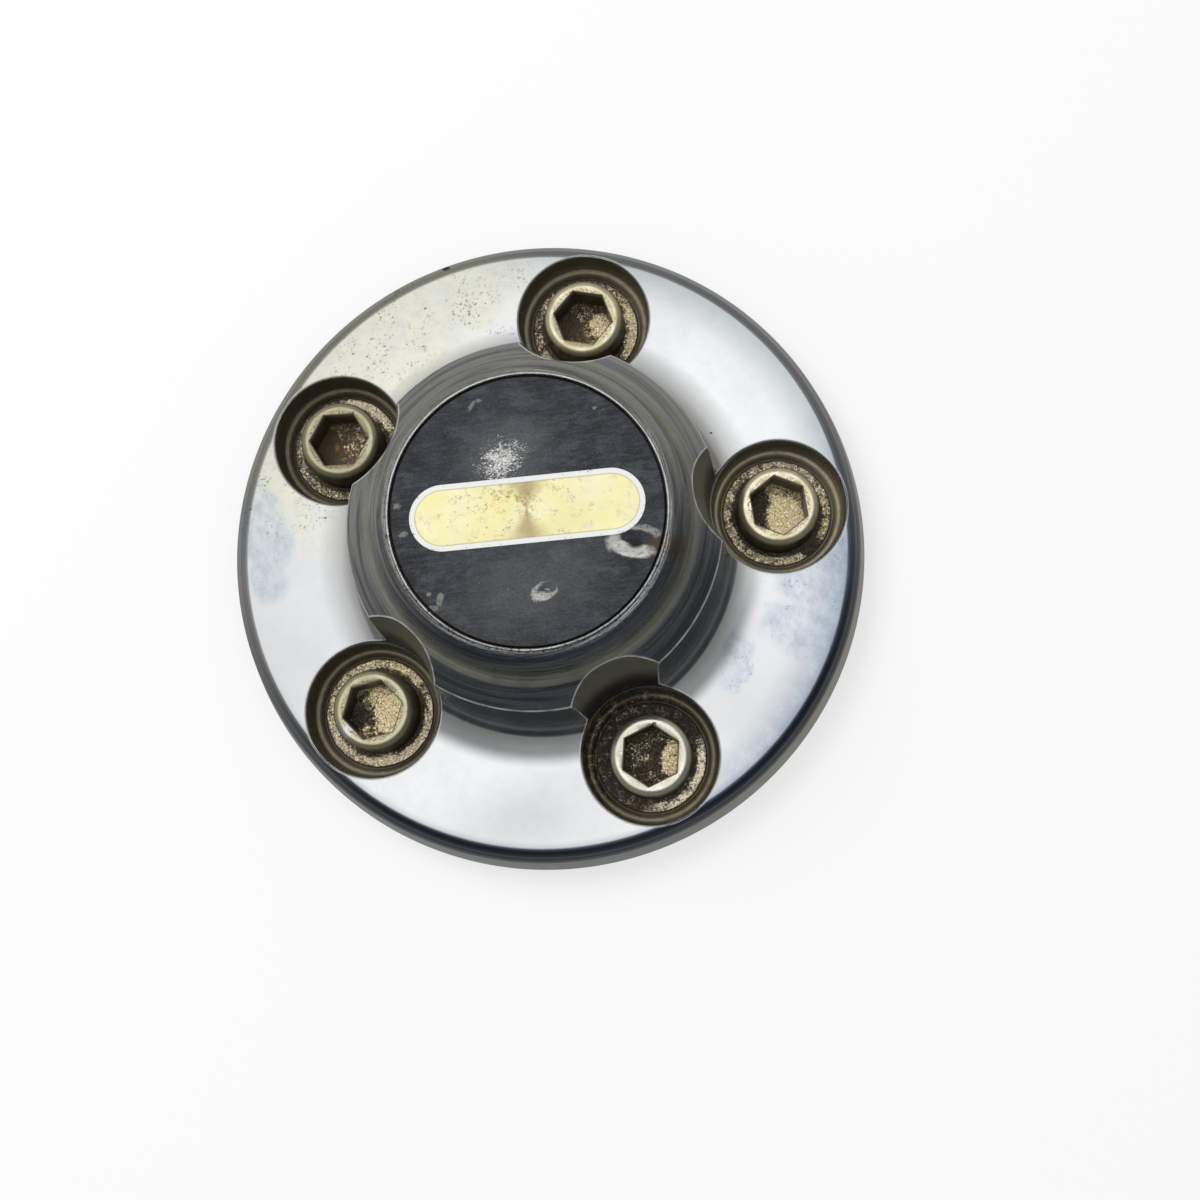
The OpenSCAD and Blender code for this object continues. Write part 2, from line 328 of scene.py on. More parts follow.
class Weave(Nodes):
    """Builds one node material on Object coordinates in millimetres."""

    def __init__(self, name: str) -> None:
        """Starts an empty material.

        Args:
            name: Name of the material.
        """
        self.material = bpy.data.materials.new(name)
        self.material.use_nodes = True
        super().__init__(self.material.node_tree)
        coord = self.add("TexCoord").outputs["Object"]
        self.place = self.add("Mapping", coord, named={"Scale": (1 / MM, 1 / MM, 1 / MM)}).outputs[0]

    def surface(self, shader: bpy.types.Node) -> bpy.types.Material:
        """Puts a shader on the material and returns the material."""
        self.add("OutputMaterial", shader.outputs[0])
        return self.material

    def dressed(
        self, tone: Value, metal: Value, rough: Value, normal: Socket, gloss: float = 0.5,
    ) -> bpy.types.Material:
        """Finishes the material with its one shader.

        Args:
            tone: Base colour.
            metal: Share of metal.
            rough: Roughness.
            normal: Normal with its bumps.
            gloss: Specular level.

        Returns:
            The material.
        """
        return self.surface(self.add("BsdfPrincipled", named={
            "Base Color": tone,
            "Metallic": metal,
            "Roughness": rough,
            "Normal": normal,
            "Specular IOR Level": gloss,
        }))

    def split(self, vector: Socket) -> tuple:
        """The three numbers of a vector."""
        return tuple(self.add("SeparateXYZ", vector).outputs)

    def merge(self, x: Value, y: Value, z: Value = 0.0) -> Socket:
        """A vector of three numbers."""
        return self.add("CombineXYZ", x, y, z).outputs[0]

    def stretch(
        self, vector: Socket, scale: tuple, turn: float = 0.0, shift: tuple = (0.0, 0.0, 0.0),
    ) -> Socket:
        """Moves, turns and stretches a pattern.

        Args:
            vector: Where the pattern is read.
            scale: Factors along the axes.
            turn: Turn about Z in degrees.
            shift: Move in millimetres.

        Returns:
            The changed vector.
        """
        return self.add("Mapping", vector, shift, (0.0, 0.0, math.radians(turn)), scale).outputs[0]

    def noise(
        self, size: float, detail: float, rough: float, vector: Socket | None = None, warp: float = 0.0,
    ) -> Socket:
        """Cloudy noise.

        Args:
            size: Size of its largest blots in millimetres.
            detail: Number of finer layers.
            rough: Strength of the finer layers.
            vector: Where it is read, or None for the plain place.
            warp: Distortion.

        Returns:
            A number from 0 to 1.
        """
        return self.add("TexNoise", self.place if vector is None else vector, named={
            "Scale": 1 / size, "Detail": detail, "Roughness": rough, "Distortion": warp,
        }).outputs["Fac"]

    def ramp(self, value: Socket, stops: list, kind: str = "LINEAR") -> Socket:
        """A colour ramp.

        Args:
            value: The number that it reads.
            stops: Pairs of place and number.
            kind: LINEAR, EASE or CONSTANT.

        Returns:
            The colour.
        """
        node = self.add("ValToRGB", value)
        node.color_ramp.interpolation = kind
        marks = node.color_ramp.elements
        while len(marks) < len(stops):
            marks.new(0.5)
        for mark, (at, level) in zip(marks, stops):
            mark.position = at
            mark.color = (level, level, level, 1.0)
        return node.outputs["Color"]

    def step(
        self, value: Socket, low: float, high: float, to_low: float = 0.0, to_high: float = 1.0,
    ) -> Socket:
        """Maps a number from one range to another with soft, clamped ends."""
        node = self.add("MapRange", value, low, high, to_low, to_high, interpolation_type="SMOOTHSTEP")
        return node.outputs["Result"]

    def fall(self, value: Socket, low: float, high: float) -> Socket:
        """1 below a range of a number and 0 above it."""
        return self.step(value, low, high, 1.0, 0.0)

    def blot(self, size: float, detail: float, rough: float, low: float, high: float, *to: float) -> Socket:
        """The places where a noise is high."""
        return self.step(self.noise(size, detail, rough), low, high, *to)

    def mix(self, share: Value, a: Value, b: Value, blend: str = "MIX") -> Socket:
        """Mixes two colours by the share of the second."""
        return self.add("Mix", named={0: share, 6: a, 7: b}, data_type="RGBA", blend_type=blend).outputs[2]

    def coat(self, tone: Value, over: Value, *shares: Value) -> Socket:
        """Lays a colour over a tone, as thick as the product of some shares."""
        return self.mix(self.times(*shares), tone, over)

    def bump(self, height: Socket, depth: float, normal: Socket | None = None) -> Socket:
        """A bump node.

        Args:
            height: Height from 0 to 1.
            depth: What 1 stands for, in millimetres.
            normal: Normal that it starts from.

        Returns:
            The normal.
        """
        named = {"Strength": 1.0, "Distance": depth * MM, "Height": height}
        return self.add("Bump", named=named if normal is None else {**named, "Normal": normal}).outputs[0]

    def spot(
        self, x: float, y: float, wide: float, high: float, turn: float = 0.0, ragged: float = 0.0,
        grain: float = 3.0, soft: float = 0.3,
    ) -> Socket:
        """An oval patch in the plan view.

        Args:
            x: Its middle in millimetres.
            y: Its middle in millimetres.
            wide: Half of its width.
            high: Half of its height.
            turn: Its turn in degrees.
            ragged: How much noise breaks its outline.
            grain: Size of that noise in millimetres.
            soft: Width of its edge as a share of its size.

        Returns:
            1 inside and 0 outside.
        """
        cos, sin = math.cos(math.radians(turn)), math.sin(math.radians(turn))
        px, py, _ = self.split(self.place)
        dx, dy = self.minus(px, x), self.minus(py, y)
        u = self.line(dx, cos / wide, self.times(dy, sin / wide))
        v = self.line(dy, cos / high, self.times(dx, -sin / high))
        away = self.vector("LENGTH", self.merge(u, v))
        if ragged > 0.0:
            away = self.line(self.minus(self.noise(grain, 5.0, 0.6), 0.5), ragged * 2, away)
        return self.fall(away, 1.0 - soft, 1.0 + soft)

    def spots(self, *rows: tuple) -> Socket:
        """Several oval patches, a row of spot's sizes for each."""
        return self.most(*[self.spot(*row) for row in rows])

    def polar(self) -> tuple:
        """Distance from the cap's axis, and height."""
        x, y, z = self.split(self.place)
        return self.vector("LENGTH", self.merge(x, y)), z

    def outward(self) -> Socket:
        """The level direction away from the cap's axis."""
        return self.vector("NORMALIZE", self.vector("MULTIPLY", self.place, (1.0, 1.0, 0.0)))

    def toward(self, way: tuple, low: float, high: float, *to: float) -> Socket:
        """How far a place lies towards one side of the cap, between two cosines."""
        return self.step(self.vector("DOT_PRODUCT", self.outward(), way), low, high, *to)

    def pocket(self) -> tuple:
        """Where a point lies in its nearest pocket.

        Returns:
            Distance from the pocket's axis, height, and a share that grows by 0.25 from pocket to pocket.
        """
        x, y, z = self.split(self.place)
        pitch = math.tau / POCKETS
        angle = self.math("ARCTAN2", y, x)
        number = self.math("ROUND", self.math("DIVIDE", angle, pitch))
        folded = self.minus(angle, self.times(number, pitch))
        reach = self.vector("LENGTH", self.merge(x, y))
        along = self.minus(self.times(reach, self.math("COSINE", folded)), LUG_CIRCLE_R)
        across = self.times(reach, self.math("SINE", folded))
        return self.vector("LENGTH", self.merge(along, across)), z, self.line(number, 0.25, 0.5)

    def by_pocket(self, share: Socket, *levels: float) -> Socket:
        """A number for each pocket: lower left, lower right, right, top and left."""
        stops = [(max(0.0, k * 0.25 - 0.12), level) for k, level in enumerate(levels)]
        return self.ramp(share, stops, "CONSTANT")

    def band(self, value: Socket, middle: float, half: float, soft: float) -> Socket:
        """1 within a band of a number and 0 outside it."""
        return self.fall(self.math("ABSOLUTE", self.minus(value, middle)), half, half + soft)

    def line(self, a: Value, b: Value, c: Value) -> Socket:
        """The first number times the second, plus the third."""
        return self.math("MULTIPLY_ADD", a, b, c)

    def minus(self, a: Value, b: Value) -> Socket:
        """The first number less the second."""
        return self.math("SUBTRACT", a, b)

    def rest(self, share: Socket) -> Socket:
        """What a share leaves of 1."""
        return self.minus(1.0, share)

    def most(self, *values: Value) -> Value:
        """The largest of some numbers."""
        return reduce(lambda a, b: self.math("MAXIMUM", a, b), values)

    def times(self, *values: Value) -> Value:
        """The product of some numbers."""
        return reduce(lambda a, b: self.math("MULTIPLY", a, b), values)


@dataclass(frozen=True)
class ChromePlate:
    """Worn chrome plating on a plastic moulding.

    Attributes:
        tone: Reflectance of clean plating.
        gloss: Roughness of clean plating.
        edge: Radius in millimetres that creases are softened to.
        film: Yellowish film of old dust.
        blue: Bluish stains.
        dirt: Brown specks.
        low_cut: Slope and start of a pocket's radius over height, up to the break of its wall.
        high_cut: The same above the break.
        widest_cut: Largest radius of a pocket's wall.
        shoulder: Distance from the axis and height of the shoulder's edge.
    """

    tone: tuple = (0.70, 0.71, 0.72)
    gloss: float = 0.12
    edge: float = 0.3
    film: tuple = (0.77, 0.765, 0.625)
    blue: tuple = (0.50, 0.60, 0.70)
    dirt: tuple = (0.16, 0.115, 0.07)
    low_cut: tuple = (0.0911, 16.398)
    high_cut: tuple = (0.2771, 10.167)
    widest_cut: float = 21.9
    shoulder: tuple = (45.0, 36.2)

    def make(self) -> bpy.types.Material:
        """Builds the material."""
        w = Weave("chrome_plate")
        reach, height = w.polar()
        on_hub = w.step(height, 12.5, 17.0)
        off_hub = w.rest(on_hub)
        tone = w.coat(self.tone, (0.62, 0.63, 0.64), w.blot(16.0, 5.0, 0.6, 0.38, 0.72), 0.5)
        tone = w.coat(tone, (0.42, 0.425, 0.43), w.spot(-14.0, -68.0, 15.0, 8.0, 0.0, 0.2, 9.0, 0.9), 0.45)
        tone = w.coat(tone, (0.60, 0.60, 0.56), on_hub, 0.45)

        # Dark streaks that run round the hub, painted reflections of the room in wavy plating, and fine light
        # scratches; the streaks also ripple the bump
        x, y, _ = w.split(w.outward())
        along = w.merge(w.line(x, 1.1, reach), w.line(y, 1.1, height), w.times(x, y, 1.4))
        ring = w.noise(1.3, 6.0, 0.7, along)
        streaky = w.times(on_hub, w.step(height, 30.0, 37.0, 0.45, 1.0))
        tone = w.coat(tone, (0.19, 0.195, 0.2), w.step(ring, 0.45, 0.6), streaky, 0.7)
        scratch = w.noise(0.5, 5.0, 0.75, w.stretch(along, (1.0, 1.0, 1.0), 0.0, (7.0, 3.0, 0.0)))
        tone = w.coat(tone, (0.86, 0.88, 0.92), w.step(scratch, 0.6, 0.72), streaky, 0.5)

        # Yellowish film of old dust on the upper left of the flange
        corner = w.times(w.spots(
            (-30.0, 62.0, 42.0, 17.0, 35.0, 0.5, 9.0, 0.5),
            (-66.0, 33.0, 11.0, 24.0, 20.0, 0.5, 8.0, 0.5),
        ), off_hub)
        tone = w.coat(tone, self.film, corner, w.line(w.blot(7.0, 7.0, 0.68, 0.42, 0.68), 0.45, 0.5))
        tone = w.coat(tone, (0.56, 0.52, 0.40), w.times(corner, w.blot(2.4, 7.0, 0.75, 0.52, 0.7)), 0.35)

        # Bluish stains at the left edge and at the lower right, with small flecks
        stains = w.most(w.spots(
            (-71.5, 16.0, 6.5, 13.0, 12.0, 0.6, 6.0),
            (-71.5, 2.0, 5.0, 6.0, 0.0, 0.6, 6.0),
        ), w.spots(
            (66.0, -19.0, 11.0, 9.0, -25.0, 0.6, 7.0),
            (60.0, -31.0, 9.0, 7.0, -30.0, 0.6, 7.0),
            (43.5, -37.5, 3.6, 7.5, -18.0, 0.9, 4.0),
            (71.0, -10.0, 4.0, 9.0, 8.0, 0.5, 6.0),
        ))
        wisp = w.noise(3.2, 8.0, 0.74, w.stretch(w.place, (1.0, 0.6, 1.0), 35.0))
        stain = w.times(stains, w.step(wisp, 0.34, 0.64, 0.4, 1.0))
        tone = w.coat(tone, self.blue, stain, 0.6)
        below = w.toward((0.883, -0.469, 0.0), 0.6, 0.96)
        outer = w.times(w.step(reach, 66.0, 79.0), w.step(height, 10.0, 10.9))
        tone = w.coat(tone, (0.44, 0.475, 0.49), outer, w.toward((0.866, 0.5, 0.0), 0.3, 0.95))
        bruise = w.times(outer, below, w.blot(5.0, 6.0, 0.7, 0.25, 0.6, 0.5, 1.0))
        tone = w.coat(tone, (0.27, 0.335, 0.43), bruise, 0.85)

        # Painted dark reflections on the lower side of the flange, along its rounded rim and in the cove at
        # the hub's foot
        lower = w.toward((0.05, -1.0, 0.0), 0.1, 0.75)
        painted_rim_reflection = w.times(w.step(reach, 74.8, 78.4), lower, w.step(height, 10.4, 10.8))
        tone = w.coat(tone, (0.2, 0.225, 0.28), painted_rim_reflection, 0.8)
        painted_cove_reflection = w.times(w.fall(reach, 53.0, 57.4), w.fall(height, 11.4, 12.6), lower)
        tone = w.coat(tone, (0.14, 0.15, 0.15), painted_cove_reflection, 0.85)
        fleck = w.times(w.blot(0.9, 6.0, 0.75, 0.57, 0.63), w.blot(6.0, 3.0, 0.6, 0.48, 0.6), stains)
        tone = w.coat(tone, (0.14, 0.23, 0.32), fleck, 0.8)

        # Side of the rim, olive at the lower right and grey elsewhere
        side = w.mix(below, (0.42, 0.43, 0.44), (0.50, 0.49, 0.40))
        on_side = w.times(w.step(reach, 79.6, 80.2), w.fall(height, 8.6, 10.0))
        tone = w.coat(tone, side, on_side, w.blot(6.0, 4.0, 0.6, 0.2, 0.7, 0.65, 1.0))

        # Brown specks, thick in the film and sparse elsewhere
        grain = w.noise(0.8, 6.0, 0.72)
        dense = w.times(corner, w.step(grain, 0.555, 0.615), w.blot(8.0, 4.0, 0.65, 0.47, 0.64))
        rows = w.noise(1.5, 6.0, 0.75, w.stretch(w.place, (0.6, 1.6, 1.0), 28.0))
        thin = w.times(w.step(rows, 0.66, 0.72), w.blot(11.0, 3.0, 0.6, 0.52, 0.66))
        marks = w.times(w.spots(
            (-41.0, 50.5, 3.0, 1.8, 20.0, 0.5, 1.0),
            (-27.5, 51.5, 3.0, 2.2, 35.0, 0.5, 1.0),
            (-34.0, 60.0, 3.8, 2.4, 40.0, 0.6, 1.2),
            (-7.0, 66.0, 6.0, 2.0, 5.0, 0.6, 1.2),
            (-3.0, 58.0, 4.0, 1.6, -15.0, 0.6, 1.2),
            (-57.5, 16.0, 5.0, 3.2, 20.0, 0.7, 1.6),
        ), w.step(grain, 0.57, 0.63), 0.7)
        chip = w.spot(-15.2, 77.6, 1.1, 0.7, 0.0, 0.5, 0.8)
        dot = w.spot(46.5, 21.5, 0.3, 0.24, 0.0, 0.6, 0.8)
        marks = w.times(w.most(marks, chip, dot), off_hub)
        dirt = w.most(w.times(dense, 0.85), w.times(thin, 0.6), marks)
        tone = w.mix(dirt, tone, self.dirt)

        # Olive in patches in the fillet at the barrel's foot and at the hub's foot: a dull deposit and a
        # painted highlight
        fillet = w.times(w.band(reach, 38.6, 0.85, 0.55), w.band(height, 42.1, 0.9, 1.4))
        foot = w.times(w.band(reach, 47.8, 1.8, 3.0), w.band(height, 12.6, 1.6, 3.0))
        patchy = w.blot(5.0, 6.0, 0.65, 0.3, 0.62, 0.45, 1.0)
        olive = w.most(w.times(fillet, patchy), w.times(foot, patchy, 0.3))
        tone = w.coat(tone, (0.33, 0.32, 0.25), olive, 0.85)

        # Scallops dulled and painted darker towards their bottom as shade, and worn lines along the shoulder,
        # the scallops and the pocket mouths
        high_cut = w.math("MINIMUM", w.line(height, *self.high_cut), self.widest_cut)
        past = w.minus(w.pocket()[0], w.most(w.line(height, *self.low_cut), high_cut))
        scoop = w.times(w.fall(past, 0.012, 0.02), w.step(height, 10.9, 11.0))
        rise = w.step(height, 11.0, 35.0)
        # Painted shade: near black at the bottom of the scallop beside the pocket, lighter towards its top
        deep = w.mix(w.times(rise, rise), (0.02, 0.018, 0.013), (0.27, 0.265, 0.215))
        tone = w.coat(tone, deep, scoop, 0.9)
        rim = w.times(w.step(past, 0.014, 0.03), w.fall(past, 0.2, 0.42))
        edge_r, edge_z = self.shoulder
        off_edge = w.vector("LENGTH", w.merge(w.minus(reach, edge_r), w.minus(height, edge_z)))
        shoulder = w.fall(off_edge, 0.22, 0.42)
        worn = w.times(w.most(rim, shoulder), w.blot(4.0, 6.0, 0.7, 0.3, 0.6, 0.35, 1.0))
        tone = w.coat(tone, (0.66, 0.68, 0.65), worn, 0.85)

        # Dirt along the lip, the recess wall in the gap round the disc painted black as shade, and rust that
        # bleeds over the lip
        near = w.toward((-0.2, -0.98, 0.0), -0.3, 0.6, 0.25, 0.85)
        crumbs = w.times(w.blot(0.9, 5.0, 0.75, 0.52, 0.6), w.band(reach, 32.6, 0.5, 0.3), near)
        tone = w.coat(tone, (0.05, 0.042, 0.028), crumbs, w.step(height, 50.0, 50.4))
        gap = w.times(w.fall(reach, 32.05, 32.2), w.fall(height, 50.5, 50.66))
        tone = w.mix(gap, tone, (0.006, 0.006, 0.006))
        rust = w.times(w.spot(33.2, -13.8, 2.8, 2.6, -25.0, 0.9, 1.6, 0.6), w.step(height, 46.0, 48.0))
        tone = w.coat(tone, (0.42, 0.29, 0.13), rust, 0.6)

        # Gloss and relief
        dull = w.most(w.times(worn, 0.6), w.times(olive, 0.35), w.times(scoop, 0.2), gap)
        smear = w.blot(3.0, 6.0, 0.65, 0.35, 0.8, self.gloss, self.gloss + 0.06)
        rough = w.line(w.most(w.times(olive, 1.8), w.times(corner, 0.6), stain, scoop), 0.14, smear)
        rough = w.line(dirt, 0.35, w.line(on_hub, 0.05, rough))
        relief = w.line(w.times(ring, streaky), 3.2, w.times(grain, 0.12))
        rounded = w.add("Bevel", self.edge * MM, samples=4).outputs[0]
        return w.dressed(tone, w.rest(dull), rough, w.bump(relief, 0.05, rounded))


@dataclass(frozen=True)
class Grime:
    """Flaked brake dust over metal, as on the floors of the pockets and sockets.

    Attributes:
        glint: Brightest grains of the metal.
        pitted: How deep dirt lies in each pocket's metal.
        spread: Range of the dirt's level over which metal turns into dirt.
    """

    glint: tuple = (1.0, 0.89, 0.62)
    pitted: tuple = (0.85, 1.0, 0.4, 0.85, 0.9)
    spread: tuple = (-0.08, 0.075)

    def grains(self, w: Weave, metal: Socket, grain: Socket, pitted: Socket, pits: tuple) -> Socket:
        """Adds bright grains and dark pits to a metal tone.

        Args:
            w: The material.
            metal: The metal's tone.
            grain: The fine noise.
            pitted: How deep the dirt lies.
            pits: Tone of the pits.

        Returns:
            The new tone.
        """
        metal = w.mix(w.step(grain, 0.5, 0.62), metal, self.glint)
        return w.coat(metal, pits, w.step(grain, 0.47, 0.36), pitted)

    def floor_rough(self, w: Weave, bare: Socket) -> Socket:
        """Roughness of a floor, from dirt to bare metal."""
        return w.step(bare, 0.0, 1.0, 0.55, 0.27)


@dataclass(frozen=True)
class PocketGrime(Grime):
    """Dulled plating and brake dust inside a lug pocket, with painted light and shade."""

    satin: tuple = (0.475, 0.425, 0.265)
    gold: tuple = (0.47, 0.395, 0.235)
    pink: tuple = (0.44, 0.365, 0.265)
    dark: tuple = (0.030, 0.021, 0.012)

    def make(self) -> bpy.types.Material:
        """Builds the material."""
        w = Weave("pocket_grime")
        away, height, share = w.pocket()
        grain = w.noise(0.55, 6.0, 0.8)
        coarse = w.noise(2.0, 7.0, 0.74)
        wide = w.noise(7.0, 4.0, 0.6)
        on_floor = w.times(w.fall(away, 13.7, 13.95), w.fall(height, 3.0, 3.3))
        # Soot and painted shadow of the hub over the lower right pocket, towards the hub
        soot_and_hub_shadow = w.spot(13.0, -52.5, 16.5, 16.0, -25.0, 0.2, 4.0, 0.4)

        # Floor: gold and pinkish metal under grainy grime
        pitted = w.by_pocket(share, *self.pitted)
        metal = w.mix(w.step(wide, 0.4, 0.62), self.gold, self.pink)
        metal = self.grains(w, metal, grain, pitted, (0.09, 0.066, 0.036))
        # Painted highlight: bright gold glints on the lit side of the lower right pocket's floor
        shine = w.spot(27.0, -65.0, 9.0, 9.0, 0.0, 0.2, 4.0, 0.4)
        metal = w.coat(metal, (1.0, 0.9, 0.66), shine, w.step(grain, 0.42, 0.5))
        # Painted light: less dirt, so more bare metal, on the lit side of each pocket's floor
        clean = w.spots(
            (29.0, -62.5, 3.6, 7.5, -24.0, 0.4, 2.0, 0.4),
            (21.5, -69.0, 7.0, 2.6, 24.0, 0.4, 2.0, 0.4),
            (-42.5, 43.5, 6.5, 3.0, -42.0, 0.4, 2.0, 0.4),
            (30.0, 54.5, 3.2, 8.0, 8.0, 0.4, 2.0, 0.5),
            (-46.0, -48.0, 8.0, 2.6, 12.0, 0.4, 2.0, 0.5),
        )
        # Painted shadow: black where the bosses cast shade in the right and lower left pockets, with part of
        # the soot and hub shadow
        black = w.most(w.spots(
            (66.5, -9.0, 5.8, 2.6, -38.0, 0.6, 2.4, 0.4),
            (-41.0, -38.5, 2.6, 8.5, -30.0, 0.5, 2.0, 0.5),
        ), w.times(soot_and_hub_shadow, 0.45))
        level = w.line(coarse, 0.42, w.line(grain, 0.48, w.times(wide, 0.1)))
        level = w.minus(level, w.by_pocket(share, 0.455, 0.565, 0.477, 0.51, 0.51))
        level = w.line(black, -0.16, w.line(clean, 0.13, level))
        level = w.line(w.band(away, 10.6, 0.5, 1.0), -0.13, level)
        bare = w.step(level, *self.spread)
        floor = w.mix(bare, w.mix(w.step(grain, 0.4, 0.66), self.dark, (0.20, 0.14, 0.085)), metal)

        # Ledge and wall: olive satin, a little broken up by grime
        film = w.mix(w.step(wide, 0.35, 0.65), self.satin, (0.50, 0.42, 0.30))
        film = w.mix(w.step(grain, 0.45, 0.75), film, (0.60, 0.55, 0.42))
        aged = w.mix(w.step(grain, 0.56, 0.66), (0.115, 0.095, 0.058), (0.62, 0.56, 0.43))
        film = w.mix(w.by_pocket(share, 0.6, 0.5, 0.15, 0.4, 0.75), film, aged)
        # Painted shade: the wall darkens towards the pocket's mouth
        film = w.coat(film, (0.15, 0.12, 0.07), w.step(height, 4.2, 7.5), 0.88)
        crust = w.step(w.line(coarse, 0.6, w.times(grain, 0.4)), 0.48, 0.66)
        crust = w.times(crust, w.by_pocket(share, 0.45, 0.7, 0.45, 0.55, 0.65))
        tone = w.mix(on_floor, w.mix(crust, film, (0.13, 0.095, 0.055)), floor)

        # Soot with bright flakes and painted shadow of the hub in the lower right pocket, and the groove
        # painted black as shade
        flake = w.step(w.line(coarse, 0.5, w.times(grain, 0.5)), 0.51, 0.6)
        tone = w.coat(tone, w.mix(flake, (0.042, 0.029, 0.016), (0.95, 0.72, 0.44)), soot_and_hub_shadow, 0.8)
        groove = w.times(w.band(away, 14.05, 0.12, 0.22), w.fall(height, 2.8, 3.4))
        tone = w.coat(tone, (0.02, 0.015, 0.009), groove, 0.85)
        metal = w.mix(on_floor, w.step(crust, 0.0, 0.8, 0.6, 0.2), w.times(bare, 0.85))
        rough = w.mix(on_floor, w.line(crust, 0.2, 0.36), self.floor_rough(w, bare))
        fine = w.times(grain, w.step(on_floor, 0.0, 1.0, 0.25, 0.6))
        relief = w.line(w.times(level, on_floor), -1.0, w.times(fine, pitted))
        return w.dressed(tone, metal, rough, w.bump(relief, 0.2))


@dataclass(frozen=True)
class BossMetal:
    """Dulled satin plating on a lug boss, with painted light and shade."""

    tone: tuple = (1.0, 0.945, 0.70)
    gold: tuple = (0.87, 0.77, 0.47)
    dark: tuple = (0.10, 0.075, 0.045)

    def make(self) -> bpy.types.Material:
        """Builds the material."""
        w = Weave("boss_plate")
        away, height, share = w.pocket()
        blot = w.noise(4.5, 5.0, 0.62)
        grain = w.noise(0.5, 5.0, 0.7)
        tone = w.mix(w.step(blot, 0.36, 0.66), self.tone, self.gold)
        # Painted light: a paler lit copy of the plating on the lower right boss
        tone = w.mix(w.by_pocket(share, 0.0, 0.7, 0.0, 0.0, 0.0), tone, (1.0, 0.965, 0.84))
        # Painted shade: darker olive, shaded copies on the lower left and left bosses, which are also duller
        tone = w.mix(w.by_pocket(share, 0.55, 0.0, 0.0, 0.0, 0.75), tone, (0.44, 0.42, 0.26))
        # Painted highlight: a white patch on the lower left side of the lower left boss
        tone = w.coat(tone, (0.97, 0.97, 0.96), w.spot(-55.4, -39.2, 1.2, 2.5, -28.0, 0.5, 1.2, 0.5), 0.85)
        # Painted shade: the boss darkens down its side below the rounded top
        side = w.fall(height, 9.8, 11.75)
        tone = w.coat(tone, (0.045, 0.034, 0.02), side, 0.95)
        speck = w.times(w.step(grain, 0.6, 0.68), w.blot(3.0, 3.0, 0.6, 0.42, 0.6))
        lip = w.times(w.band(away, 7.3, 0.4, 0.5), w.step(grain, 0.5, 0.62))
        lip = w.times(lip, w.by_pocket(share, 1.0, 0.3, 1.0, 1.0, 1.0))
        soil = w.most(w.times(speck, 0.75), w.times(lip, 0.6))
        rough = w.line(soil, 0.2, w.line(side, 0.06, w.step(blot, 0.3, 0.7, 0.26, 0.36)))
        normal = w.bump(w.minus(w.times(grain, 0.25), soil), 0.04)
        return w.dressed(w.mix(soil, tone, self.dark), 0.85, rough, normal)


@dataclass(frozen=True)
class SocketGrime(Grime):
    """Black grime in a hexagon socket, with metal that shows through on its floor, and painted light and
    shade.
    """

    dark: tuple = (0.018, 0.013, 0.008)
    metal: tuple = (0.57, 0.46, 0.24)

    def make(self) -> bpy.types.Material:
        """Builds the material."""
        w = Weave("socket_grime")
        _, height, share = w.pocket()
        grain = w.noise(0.5, 5.0, 0.72)
        coarse = w.noise(2.2, 6.0, 0.68)

        # Painted light and shade: the dirt's level is lower on lit patches of each floor and higher in its
        # shaded corners
        bright = w.spots(
            (-44.5, -37.0, 5.0, 5.0, 0.0, 0.4, 2.0),
            (23.5, -58.5, 2.4, 4.2, -10.0, 0.4, 2.0),
            (62.0, -1.5, 4.6, 4.6, 0.0, 0.4, 2.0),
            (22.5, 57.5, 2.5, 3.5, 0.0, 0.5, 2.0),
        )
        shaded = w.spots(
            (-55.4, -33.0, 3.2, 7.0, 30.0, 0.9, 1.4, 0.9),
            (55.0, 2.5, 3.2, 6.0, 10.0, 0.7, 2.0, 0.8),
            (14.0, 59.0, 3.0, 5.0, 30.0, 0.5, 2.0, 0.5),
            (-53.5, 36.5, 3.0, 5.0, 20.0, 0.5, 2.0, 0.5),
        )
        level = w.math("ADD", w.times(coarse, 0.6), w.times(grain, 0.4))
        level = w.minus(level, w.by_pocket(share, 0.44, 0.57, 0.46, 0.54, 0.555))
        level = w.line(shaded, -0.2, w.line(bright, 0.15, level))
        bare = w.step(level, *self.spread)

        # Floor, with a spot of rust in the left socket
        pitted = w.by_pocket(share, *self.pitted)
        metal = w.mix(w.step(coarse, 0.4, 0.62), self.metal, (0.55, 0.43, 0.24))
        metal = self.grains(w, metal, grain, pitted, (0.10, 0.075, 0.04))
        base = w.mix(w.by_pocket(share, 0.0, 0.0, 0.0, 0.35, 0.8), self.dark, (0.13, 0.092, 0.045))
        floor = w.mix(bare, w.mix(w.step(grain, 0.4, 0.66), base, (0.22, 0.148, 0.072)), metal)
        floor = w.coat(floor, (0.62, 0.27, 0.03), w.spot(-51.2, 36.0, 0.5, 1.0, -12.0, 0.7, 0.8, 0.4), 0.9)

        # Walls
        wall = w.mix(w.step(grain, 0.45, 0.72), (0.085, 0.066, 0.04), (0.24, 0.20, 0.13))
        wall = w.mix(w.step(height, 9.5, 11.4), wall, (0.34, 0.29, 0.2))
        low = w.fall(height, 3.9, 4.4)
        rough = w.mix(low, 0.4, self.floor_rough(w, bare))
        normal = w.bump(w.line(level, -1.2, w.times(grain, pitted, 0.6)), 0.16)
        return w.dressed(w.mix(low, wall, floor), w.mix(low, 0.6, w.times(bare, 0.85)), rough, normal)


